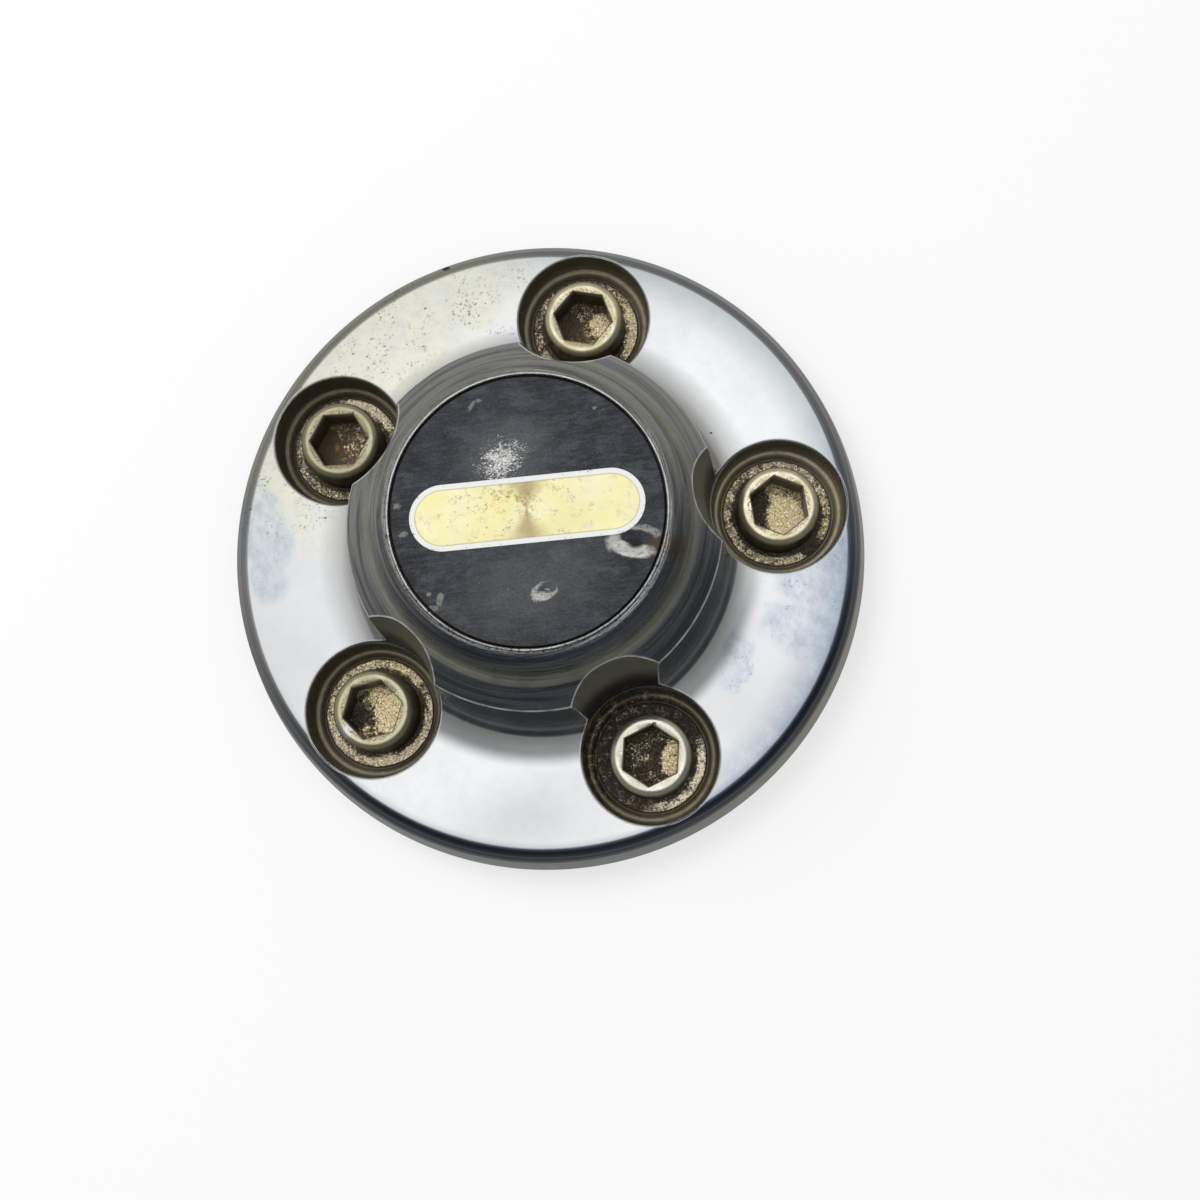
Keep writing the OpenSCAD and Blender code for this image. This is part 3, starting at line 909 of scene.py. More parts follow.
@dataclass(frozen=True)
class BackPlastic:
    """Dull moulded back, dusty and unplated to the eye."""

    tone: tuple = (0.21, 0.21, 0.205)

    def make(self) -> bpy.types.Material:
        """Builds the material."""
        w = Weave("moulded_back")
        tone = w.coat(self.tone, (0.165, 0.14, 0.105), w.blot(14.0, 7.0, 0.7, 0.4, 0.75), 0.8)
        tone = w.coat(tone, (0.09, 0.075, 0.055), w.blot(1.2, 6.0, 0.75, 0.56, 0.7), 0.5)
        return w.dressed(tone, 0.0, 0.5, w.bump(w.noise(1.0, 4.0, 0.6), 0.03))


@dataclass(frozen=True)
class EmblemFace:
    """Charcoal print on the aluminium disc, with a plain gold bar in a white line.

    Attributes:
        ground: Darkest tone of the print.
        gold: Clean gold.
        white: The line round the bar.
        bare: Aluminium where the print is gone.
        black: The disc's side.
        bar_half: Half of the bar's straight length in millimetres.
        bar_r: Radius of the bar's ends, with its line.
        line: Width of the white line.
        blur: Half of the width over which one print ends.
    """

    ground: tuple = (0.010, 0.012, 0.017)
    gold: tuple = (0.99, 0.93, 0.47)
    white: tuple = (0.95, 0.95, 0.92)
    bare: tuple = (0.88, 0.87, 0.83)
    black: tuple = (0.006, 0.006, 0.006)
    bar_half: float = 19.4
    bar_r: float = 7.8
    line: float = 1.3
    blur: float = 0.06

    def make(self) -> bpy.types.Material:
        """Builds the material."""
        w = Weave("emblem_face")
        reach, height = w.polar()

        # Print: smudges, brushed streaks, mist round the dents and dust
        streak = w.noise(1.1, 6.0, 0.7, w.stretch(w.place, (0.16, 1.4, 1.0), -4.0))
        fine = w.noise(0.5, 5.0, 0.7, w.stretch(w.place, (0.25, 1.6, 1.0), 12.0))
        smudge = w.noise(3.5, 7.0, 0.7, w.stretch(w.place, (0.5, 1.0, 1.0), 20.0))
        blot = w.noise(9.0, 6.0, 0.62)
        dust = w.noise(0.5, 5.0, 0.8)
        pore = (0.003, 0.004, 0.006)
        tone = w.mix(w.step(blot, 0.38, 0.66), self.ground, (0.032, 0.038, 0.049))
        for paint, mask, share in (
            ((0.075, 0.086, 0.097), w.step(smudge, 0.46, 0.66), 0.75),
            ((0.07, 0.077, 0.086), w.step(streak, 0.48, 0.64), 0.5),
            ((0.09, 0.098, 0.11), w.step(fine, 0.5, 0.64), 0.26),
            (pore, w.step(fine, 0.46, 0.36), 0.25),
            ((0.075, 0.08, 0.092), w.spot(-1.0, 19.0, 15.0, 10.0, 10.0, 0.3, 8.0, 0.8), 0.2),
            ((0.17, 0.175, 0.185), w.spot(-3.5, 13.5, 8.5, 6.5, 15.0, 0.4, 4.0, 0.8), 0.5),
            ((0.11, 0.115, 0.12), w.spot(-2.0, -17.5, 14.0, 8.0, 10.0, 0.5, 5.0, 0.9), 0.6),
            ((0.13, 0.138, 0.15), w.step(dust, 0.55, 0.68), 0.5),
            (pore, w.step(dust, 0.48, 0.38), 0.45),
        ):
            tone = w.coat(tone, paint, mask, share)

        # The plain bar, by distance from its middle line
        x, y, _ = w.split(w.stretch(w.place, (1.0, 1.0, 1.0), 3.4))
        past = w.most(w.minus(w.math("ABSOLUTE", x), self.bar_half), 0.0)
        out = w.vector("LENGTH", w.merge(past, y))
        gold_r = self.bar_r - self.line
        on_bar = w.fall(out, self.bar_r - self.blur, self.bar_r + self.blur)
        on_gold = w.fall(out, gold_r - self.blur, gold_r + self.blur)
        gold = w.mix(w.blot(6.0, 4.0, 0.6, 0.35, 0.7), self.gold, (1.0, 0.97, 0.64))

        # Its fan of painted brushed sheen, brown age and stains
        fan = w.math("DIVIDE", w.math("ABSOLUTE", x), w.most(w.math("ABSOLUTE", y), 0.4))
        brush = w.noise(0.35, 4.0, 0.7, w.stretch(w.place, (0.12, 1.4, 1.0)))
        fan = w.line(w.minus(brush, 0.5), 0.5, fan)
        painted_sheen = w.fall(w.line(w.minus(w.noise(3.0, 5.0, 0.6), 0.5), 1.1, fan), -0.1, 1.15)
        gold = w.coat(gold, (0.50, 0.41, 0.21), painted_sheen, 0.9)
        gold = w.coat(gold, (0.82, 0.66, 0.30), w.blot(3.0, 6.0, 0.7, 0.5, 0.7), 0.45)
        age = w.times(w.blot(0.8, 7.0, 0.8, 0.5, 0.64), w.blot(3.0, 5.0, 0.65, 0.49, 0.6))
        middle = w.spot(-3.0, 1.5, 14.0, 8.0, 0.0, 0.6, 4.0, 0.8)
        gold = w.coat(gold, (0.28, 0.15, 0.015), age, w.step(middle, 0.0, 0.6, 0.35, 0.85))
        stain = w.times(w.spot(-4.5, 3.0, 6.5, 4.0, 0.0, 0.8, 3.0, 0.8), w.blot(1.6, 6.0, 0.75, 0.5, 0.62))
        gold = w.coat(gold, (0.38, 0.22, 0.025), stain, 0.75)
        seam = w.band(out, gold_r, 0.1, 0.08)
        bar = w.coat(w.mix(on_gold, self.white, gold), (0.35, 0.30, 0.16), seam, 0.45)
        nick = w.times(w.blot(0.9, 4.0, 0.7, 0.6, 0.66), w.band(out, self.bar_r, 0.25, 0.5))
        tone = w.coat(tone, bar, on_bar, w.rest(nick))

        # Scuff above the bar, with fine wiry marks and painted white glints
        wire = w.noise(0.8, 6.0, 0.78, w.stretch(w.place, (0.5, 1.1, 1.0), -25.0), 1.2)
        scuff = w.spot(-4.2, 12.4, 6.2, 4.8, 15.0, 0.5, 3.0, 0.8)
        bright = w.times(w.step(w.line(scuff, 0.2, wire), 0.66, 0.74), w.step(scuff, 0.02, 0.25))
        painted_glint = w.times(w.step(w.line(scuff, 0.2, dust), 0.7, 0.76), w.step(scuff, 0.3, 0.7))

        # Scraped dent beside the bar's right end
        swirl = w.noise(2.2, 4.0, 0.6, w.stretch(w.place, (0.6, 1.3, 1.0), 18.0), 2.0)
        hollow = w.rest(w.spot(24.0, -10.4, 4.2, 1.7, -16.0, 0.3, 2.0, 0.15))
        tail = w.times(w.spot(18.7, -10.6, 1.8, 1.9, 0.0, 0.6, 1.5, 0.5), 0.6)
        scrape = w.most(w.spot(22.4, -12.8, 4.8, 1.9, -19.0, 0.4, 2.0, 0.25), tail)
        scrape = w.times(scrape, hollow, w.step(swirl, 0.3, 0.5, 0.4, 1.0))
        arc = w.times(w.spot(25.5, -9.6, 3.7, 1.9, -16.0, 0.4, 2.0, 0.15), hollow)
        scrape = w.most(scrape, w.times(arc, w.blot(0.8, 5.0, 0.7, 0.35, 0.65, 0.12, 0.42)))

        # Dent below the bar
        pick = w.noise(0.6, 4.0, 0.7)
        hole = w.spot(2.0, -18.7, 2.5, 1.6, 14.0, 0.3, 1.2, 0.3)
        cut = w.times(w.spot(1.3, -19.3, 3.0, 2.1, 14.0, 0.3, 1.2, 0.12), w.rest(hole))
        dint = w.times(w.spot(0.5, -20.1, 2.0, 1.0, 20.0, 0.8, 0.8, 0.4), w.step(wire, 0.42, 0.5))
        dint = w.most(dint, w.times(cut, w.step(pick, 0.35, 0.6, 0.2, 0.75)))

        # Bare metal, chips, rust, and dirt along the edge
        pits = w.times(w.step(pick, 0.66, 0.7), w.blot(5.0, 3.0, 0.6, 0.45, 0.6))
        metal = w.most(w.times(scrape, 0.95), dint, bright, w.times(pits, 0.5))
        tone = w.mix(painted_glint, w.mix(metal, tone, self.bare), WHITE)
        chips = w.times(w.spots(
            (-22.5, -17.4, 0.7, 1.5, -15.0, 0.7, 1.0, 0.15),
            (-24.6, -19.4, 1.4, 0.75, 0.0, 0.7, 1.0, 0.15),
            (-24.8, -15.9, 0.6, 0.5, 0.0, 0.7, 1.0, 0.2),
            (-29.6, 5.6, 0.9, 0.7, 0.0, 1.2, 0.6, 0.4),
            (-28.8, -1.2, 0.9, 0.6, 10.0, 1.2, 0.6, 0.4),
            (-7.6, 27.4, 0.6, 0.4, 0.0, 1.2, 0.6, 0.4),
            (-9.3, 26.4, 1.3, 0.4, 50.0, 1.4, 0.6, 0.4),
            (18.8, 21.2, 0.5, 0.35, 0.0, 1.0, 0.6, 0.4),
        ), w.rest(on_bar), w.blot(0.7, 5.0, 0.75, 0.32, 0.5, 0.35, 1.0))
        tone = w.coat(tone, (0.24, 0.235, 0.215), chips, 0.85)
        tone = w.coat(tone, (0.10, 0.055, 0.02), w.spot(28.2, -13.2, 2.2, 2.2, 0.0, 0.9, 1.6, 0.5), 0.65)
        edge = w.times(w.step(reach, 29.9, 31.2), w.blot(0.9, 5.0, 0.7, 0.46, 0.6))
        lower = w.spot(-14.0, -24.0, 19.0, 9.0, -38.0, 0.3, 6.0, 0.4)
        soil = w.most(w.times(edge, lower), w.times(edge, 0.35))
        tone = w.coat(tone, (0.055, 0.022, 0.012), soil, 0.8)
        tone = w.mix(w.most(w.fall(height, 50.0, 50.2), w.step(reach, 31.4, 31.5)), tone, self.black)

        # Gloss and relief
        shine = w.most(w.times(metal, 0.9), w.times(on_gold, 0.35))
        rough = w.line(w.most(metal, soil, w.times(scuff, 0.6)), 0.12, w.step(blot, 0.3, 0.7, 0.26, 0.36))
        relief = w.math("ADD", w.times(streak, 0.25), w.times(metal, -0.6))
        relief = w.line(on_bar, 0.5, w.math("ADD", relief, w.times(bright, 0.8)))
        return w.dressed(tone, shine, rough, w.bump(relief, 0.04), 0.28)


@dataclass(frozen=True)
class SpringSteel:
    """Bare spring wire with a little rust."""

    tone: tuple = (0.42, 0.41, 0.4)

    def make(self) -> bpy.types.Material:
        """Builds the material."""
        w = Weave("spring_wire")
        rust = w.blot(4.0, 6.0, 0.65, 0.5, 0.68)
        tone = w.mix(rust, self.tone, (0.16, 0.065, 0.03))
        return w.dressed(tone, w.rest(rust), w.line(rust, 0.4, 0.35), w.bump(w.noise(0.8, 5.0, 0.6), 0.04))


@dataclass
class LugPocket:
    """Sizes of one lug pocket with its scallop, ledge and boss, in millimetres."""

    circle_r: float = LUG_CIRCLE_R
    mouth_r: float = 17.4
    flange_z: float = 11.0
    floor_z: float = 2.3
    under_z: float = 0.3
    ledge_r: float = 14.4
    ledge_z: float = 3.8
    ledge_out_r: float = 16.6
    wall_top_r: float = 16.9
    groove_w: float = 0.6
    groove_z: float = 2.0
    break_r: float = 19.45
    break_z: float = 33.5
    foot_r: float = 21.75
    foot_z: float = 41.8
    top_z: float = 55.8
    wall_t: float = 2.4
    boss_r: float = 10.1
    boss_top_z: float = 12.0
    boss_foot_r: float = 10.66
    boss_foot_z: float = 1.0
    socket_flats: float = 13.2
    socket_z: float = 3.4
    mouth_drop: float = 0.05
    plated: float = 0.42
    top_out: float = 0.2
    uneven: tuple = ((1.1, 0.07), (2.7, 0.04))
    floor_ring_in: float = 0.6
    floor_ring_step: float = 0.45
    floor_rings: int = 8
    lip_h: float = 0.45
    lip: tuple = ((0.22, 0.05), (0.15, 0.12), (0.08, 0.23), (3.0, 0.0))
    turns: int = 128
    boss_turns: int = 96

    def cutter(self) -> bmesh.types.BMesh:
        """What is cut away for the pocket, the scallop and the ledge."""
        mouth_z = self.flange_z - self.mouth_drop
        first = self.boss_foot_r - self.floor_ring_in
        corners = [
            Corner(0.0, self.floor_z),
            *[Corner(first + self.floor_ring_step * k, self.floor_z) for k in range(self.floor_rings)],
            Corner(self.ledge_r - self.groove_w, self.floor_z, 0.1, 2),
            Corner(self.ledge_r - self.groove_w + 0.15, self.groove_z),
            Corner(self.ledge_r, self.groove_z),
            Corner(self.ledge_r, self.ledge_z, 1.35, 10),
            Corner(self.ledge_out_r, self.ledge_z, 0.75, 6),
            Corner(self.wall_top_r, mouth_z, 0.49, 6),
            Corner(self.mouth_r, mouth_z),
            Corner(self.mouth_r, self.flange_z),
            Corner(self.break_r, self.break_z),
            Corner(self.foot_r, self.foot_z, 1.2, 4),
            Corner(self.foot_r + self.top_out, self.top_z),
            Corner(0.0, self.top_z),
        ]
        bm = turned(corners, self.turns, Finish.POCKET)
        for vert in bm.verts:
            if abs(vert.co.z - self.floor_z) < 0.02:
                vert.co.z += sum(high * noise.noise(vert.co * tight) for tight, high in self.uneven)
        for face in bm.faces:
            if face.calc_center_median().z > mouth_z - self.plated:
                face.material_index = Finish.CHROME.value
        return bm

    def cup(self) -> bmesh.types.BMesh:
        """The solid that walls the pocket in on the cap's back."""
        corners = [
            Corner(0.0, self.under_z),
            Corner(self.ledge_out_r + self.wall_t, self.under_z, 0.6, 3),
            Corner(self.mouth_r + self.wall_t, self.flange_z),
            Corner(self.break_r + self.wall_t, self.break_z),
            Corner(self.foot_r + self.wall_t, self.foot_z),
            Corner(self.foot_r + self.wall_t + self.top_out, self.top_z),
            Corner(0.0, self.top_z),
        ]
        return turned(corners, self.turns // 2, Finish.BACK)

    def boss(self) -> bmesh.types.BMesh:
        """The round boss without its socket."""
        corners = [
            Corner(0.0, self.boss_foot_z),
            Corner(self.boss_foot_r, self.boss_foot_z),
            Corner(self.boss_r, self.boss_top_z, 1.6, 14),
            Corner(0.0, self.boss_top_z),
        ]
        return turned(corners, self.boss_turns, Finish.BOSS)

    def socket(self) -> bmesh.types.BMesh:
        """The hexagon that is cut into the boss, with its softened mouth."""
        bm = bmesh.new()
        radius = self.socket_flats / 2 / math.cos(math.radians(30))
        made = bmesh.ops.create_circle(bm, cap_ends=True, segments=6, radius=radius)
        bmesh.ops.translate(bm, verts=made["verts"], vec=(0, 0, self.socket_z))
        face = bm.faces[:][0]
        rise = self.boss_top_z - self.socket_z
        for lift, spread in ((rise - self.lip_h, 0.0), *self.lip):
            grown = bmesh.ops.extrude_discrete_faces(bm, faces=[face])
            face = grown["faces"][0]
            bmesh.ops.translate(bm, verts=face.verts[:], vec=(0, 0, lift))
            factor = (radius + spread) / radius
            bmesh.ops.scale(bm, verts=face.verts[:], vec=(factor, factor, 1.0))
        bottom = bmesh.ops.create_circle(bm, cap_ends=True, segments=6, radius=radius)
        bmesh.ops.translate(bm, verts=bottom["verts"], vec=(0, 0, self.socket_z))
        bmesh.ops.remove_doubles(bm, verts=bm.verts[:], dist=1e-4)
        return coated(bm, Finish.SOCKET)


@dataclass
class CapShell:
    """The one moulding: flange, hub, pockets, bosses, snap fingers and ribs, in millimetres."""

    pocket: LugPocket = field(default_factory=LugPocket)
    rim_r: float = 82.2
    flange_z: float = 11.0
    edge_r: float = 79.69
    edge_ease: float = 3.19
    cove_r: float = 46.68
    cove_ease: float = 2.75
    shoulder_r: float = 45.15
    shoulder_z: float = 36.1
    foot_r: float = 39.2
    foot_z: float = 41.6
    barrel_r: float = 37.7
    barrel_z: float = 41.9
    crown_r: float = 36.6
    crown_ease: float = 3.3
    top_z: float = 50.8
    recess_r: float = 32.1
    disc_z: float = 49.2
    wall_t: float = 2.4
    skirt_in_r: float = 80.88
    flange_in_r: float = 77.78
    cove_in_r: float = 44.43
    shoulder_in_r: float = 42.81
    shoulder_in_z: float = 34.99
    foot_in_r: float = 35.27
    foot_in_z: float = 41.97
    barrel_in_r: float = 34.59
    finger_in_r: float = 36.25
    finger_out_r: float = 38.35
    finger_z: float = 0.8
    fingers_n: int = 10
    pad_r: float = 35.15
    groove_r: float = 38.55
    groove_z: float = 3.9
    groove_half: float = 1.05
    slot_w: float = 3.0
    slot_top_z: float = 23.8
    rib_r: float = 46.3
    rib_t: float = 1.6
    rib_z: float = 2.5
    rib_pitch: float = 11.0
    turns: int = 288
    crease: float = 28.0

    def outer(self) -> bmesh.types.BMesh:
        """The outside, filled to the axis."""
        corners = [
            Corner(0.0, 0.0),
            Corner(self.rim_r, 0.0, 0.3, 3),
            Corner(self.edge_r, self.flange_z, self.edge_ease, 14),
            Corner(self.cove_r + 7.1, self.flange_z, 4.4, 14),
            Corner(self.cove_r, self.flange_z + 1.05, self.cove_ease, 20),
            Corner(self.shoulder_r, self.shoulder_z, 0.4, 5),
            Corner(self.foot_r, self.foot_z, 0.75, 6),
            Corner(self.barrel_r, self.barrel_z, 1.6, 14),
            Corner(self.crown_r, self.top_z - 1.1, self.crown_ease, 18),
            Corner(self.recess_r + 0.6, self.top_z - 0.13),
            Corner(self.recess_r + 0.5, self.top_z, 0.06, 2),
            Corner(self.recess_r, self.top_z, 0.08, 2),
            Corner(self.recess_r, self.disc_z),
            Corner(0.0, self.disc_z),
        ]
        return turned(corners, self.turns)

    def hollow(self) -> bmesh.types.BMesh:
        """The space inside, open at the rim plane."""
        corners = [
            Corner(0.0, -5.0),
            Corner(self.skirt_in_r, -5.0),
            Corner(self.flange_in_r, self.flange_z - self.wall_t, 0.8, 4),
            Corner(self.cove_in_r, self.flange_z - self.wall_t, 0.8, 4),
            Corner(self.shoulder_in_r, self.shoulder_in_z, 0.8, 4),
            Corner(self.foot_in_r, self.foot_in_z, 0.5, 3),
            Corner(self.barrel_in_r, self.disc_z - self.wall_t, 0.8, 4),
            Corner(0.0, self.disc_z - self.wall_t),
        ]
        return turned(corners, self.turns // 2, Finish.BACK)

    def fingers(self, slots: list[bpy.types.Material]) -> bpy.types.Object:
        """The slotted tube whose pads grip the hub of the wheel.

        Args:
            slots: Materials in the order of Finish.

        Returns:
            The tube, in millimetres.
        """
        corners = [
            Corner(self.finger_in_r, self.finger_z),
            Corner(self.finger_out_r, self.finger_z, 0.25, 2),
            Corner(self.finger_out_r, self.top_z),
            Corner(self.finger_in_r, self.top_z),
            Corner(self.finger_in_r, 8.1, 0.5, 2),
            Corner(self.pad_r, 5.9, 0.4, 2),
            Corner(self.pad_r, 1.9, 0.4, 2),
        ]
        tube = loose(turned(corners, self.turns // 2, Finish.BACK, ring=True), "finger_tube", slots)
        groove = wire_section(self.groove_half, self.groove_r, self.groove_z)
        spun(groove, self.turns // 2)
        combine(tube, loose(coated(groove, Finish.BACK), "wire_groove", slots), "DIFFERENCE")
        gap = self.slot_w / 2
        bm = block((self.pad_r - 5.0, -gap, -1.0), (self.finger_out_r + 5.0, gap, self.slot_top_z))
        repeated(bm, [(k + 0.5) * 360.0 / self.fingers_n for k in range(self.fingers_n)])
        combine(tube, loose(bm, "finger_slots", slots), "DIFFERENCE")
        return tube

    def make(self, slots: list[bpy.types.Material]) -> bpy.types.Object:
        """Builds the moulding.

        Args:
            slots: Materials in the order of Finish.

        Returns:
            The finished piece.
        """
        around = [k * 360.0 / POCKETS for k in range(POCKETS)]
        shell = loose(self.outer(), "cap_moulding", slots)
        hollow = loose(self.hollow(), "hollow", slots)
        cups = repeated(self.set_out(self.pocket.cup()), around)
        combine(hollow, loose(cups, "cups", slots), "DIFFERENCE")
        combine(hollow, self.fingers(slots), "DIFFERENCE")
        thick = self.rib_t / 2
        rib = block((self.rib_r, -thick, self.rib_z), (self.rim_r + 2.0, thick, self.flange_z + 2.0))
        between = 180.0 / POCKETS
        angles = [between + turn + k * self.rib_pitch for turn in around for k in (-1, 0, 1)]
        combine(hollow, loose(repeated(rib, angles), "ribs", slots), "DIFFERENCE")
        combine(shell, hollow, "DIFFERENCE")
        cuts = repeated(self.set_out(self.pocket.cutter()), around)
        combine(shell, loose(cuts, "cuts", slots), "DIFFERENCE")
        boss = loose(self.pocket.boss(), "boss", slots)
        combine(boss, loose(self.pocket.socket(), "socket", slots), "DIFFERENCE")
        bm = bmesh.new()
        bm.from_mesh(boss.data)
        bpy.data.objects.remove(boss)
        combine(shell, loose(repeated(self.set_out(bm), around), "bosses", slots), "UNION")
        finished(shell, self.crease)
        even = shell.modifiers.new("even_normals", "WEIGHTED_NORMAL")
        even.keep_sharp = True
        even.weight = 50
        return shell

    def set_out(self, bm: bmesh.types.BMesh) -> bmesh.types.BMesh:
        """Moves a pocket's shape from the cap's axis to the first pocket's.

        Args:
            bm: The shape.

        Returns:
            The same shape.
        """
        bmesh.ops.translate(bm, verts=bm.verts[:], vec=(self.pocket.circle_r, 0.0, 0.0))
        return bm


@dataclass(frozen=True)
class Dent:
    """A knock in the disc, in millimetres.

    Attributes:
        x: Its middle.
        y: Its middle.
        wide: Half of its length.
        high: Half of its width.
        turn: Its turn in degrees.
        depth: Depth at its middle.
    """

    x: float
    y: float
    wide: float
    high: float
    turn: float
    depth: float

    def depth_at(self, x: float, y: float) -> float:
        """How far the disc is pressed in at a point, with a low lip round the dent.

        Args:
            x: The point, in millimetres.
            y: The point, in millimetres.

        Returns:
            The depth in millimetres, below 0 on the lip.
        """
        angle = math.radians(self.turn)
        dx = x - self.x
        dy = y - self.y
        u = (dx * math.cos(angle) + dy * math.sin(angle)) / self.wide
        v = (dy * math.cos(angle) - dx * math.sin(angle)) / self.high
        away = u * u + v * v
        return self.depth * (math.exp(-away * 1.6) - 0.28 * math.exp(-((math.sqrt(away) - 1.25) ** 2) * 9.0))


@dataclass
class EmblemDisc:
    """The thin disc in the recess, in millimetres."""

    dents: tuple = (
        Dent(1.0, -19.0, 2.9, 1.9, 12.0, 0.34),
        Dent(23.3, -11.6, 4.2, 2.6, -14.0, 0.42),
        Dent(-4.8, 14.4, 7.0, 5.0, 10.0, 0.12),
        Dent(14.0, 22.0, 9.0, 6.0, 30.0, 0.05),
        Dent(-20.0, -17.0, 4.0, 3.0, 0.0, 0.05),
    )

    disc_r: float = 31.8
    low_z: float = 49.2
    top_z: float = 50.4
    ease: float = 0.35
    ring_in: float = 0.9
    ring_step: float = 0.6
    rings: int = 51
    turns: int = 240
    crease: float = 40.0

    def make(self, face: bpy.types.Material) -> bpy.types.Object:
        """Builds the disc.

        Args:
            face: Its material.

        Returns:
            The finished piece.
        """
        first = self.disc_r - self.ring_in
        rings = [Corner(first - self.ring_step * k, self.top_z) for k in range(self.rings)]
        corners = [
            Corner(0.0, self.low_z),
            Corner(self.disc_r, self.low_z),
            Corner(self.disc_r, self.top_z, self.ease, 4),
            *rings,
            Corner(0.0, self.top_z),
        ]
        bm = turned(corners, self.turns)
        for vert in bm.verts:
            if vert.co.z > self.top_z - 0.01:
                vert.co.z -= sum(dent.depth_at(vert.co.x, vert.co.y) for dent in self.dents)
        disc = loose(bm, "emblem_plate", [face])
        finished(disc, self.crease)
        return disc


@dataclass
class SpringRing:
    """The open wire ring round the snap fingers, in millimetres."""

    path_r: float = 38.55
    path_z: float = 3.9
    wire_r: float = 1.0
    opening: float = 9.0
    middle: float = 36.0
    turns: int = 200
    crease: float = 50.0

    def make(self, steel: bpy.types.Material) -> bpy.types.Object:
        """Builds the ring.

        Args:
            steel: Its material.

        Returns:
            The finished piece.
        """
        bm = wire_section(self.wire_r, self.path_r, self.path_z)
        start = math.radians(self.middle + self.opening / 2)
        bmesh.ops.rotate(bm, verts=bm.verts[:], cent=(0, 0, 0), matrix=Matrix.Rotation(start, 3, "Z"))
        spun(bm, self.turns, math.tau - math.radians(self.opening))
        bmesh.ops.holes_fill(bm, edges=bm.edges[:], sides=24)
        bmesh.ops.recalc_face_normals(bm, faces=bm.faces[:])
        ring = loose(bm, "spring_wire", [steel])
        finished(ring, self.crease)
        return ring


def disc(radius: float, z: float) -> bmesh.types.BMesh:
    """A flat round sheet, in metres.

    Args:
        radius: Its radius.
        z: Its height.

    Returns:
        The sheet.
    """
    bm = bmesh.new()
    bmesh.ops.create_circle(bm, cap_ends=True, segments=96, radius=radius)
    bmesh.ops.translate(bm, verts=bm.verts[:], vec=(0, 0, z))
    return bm


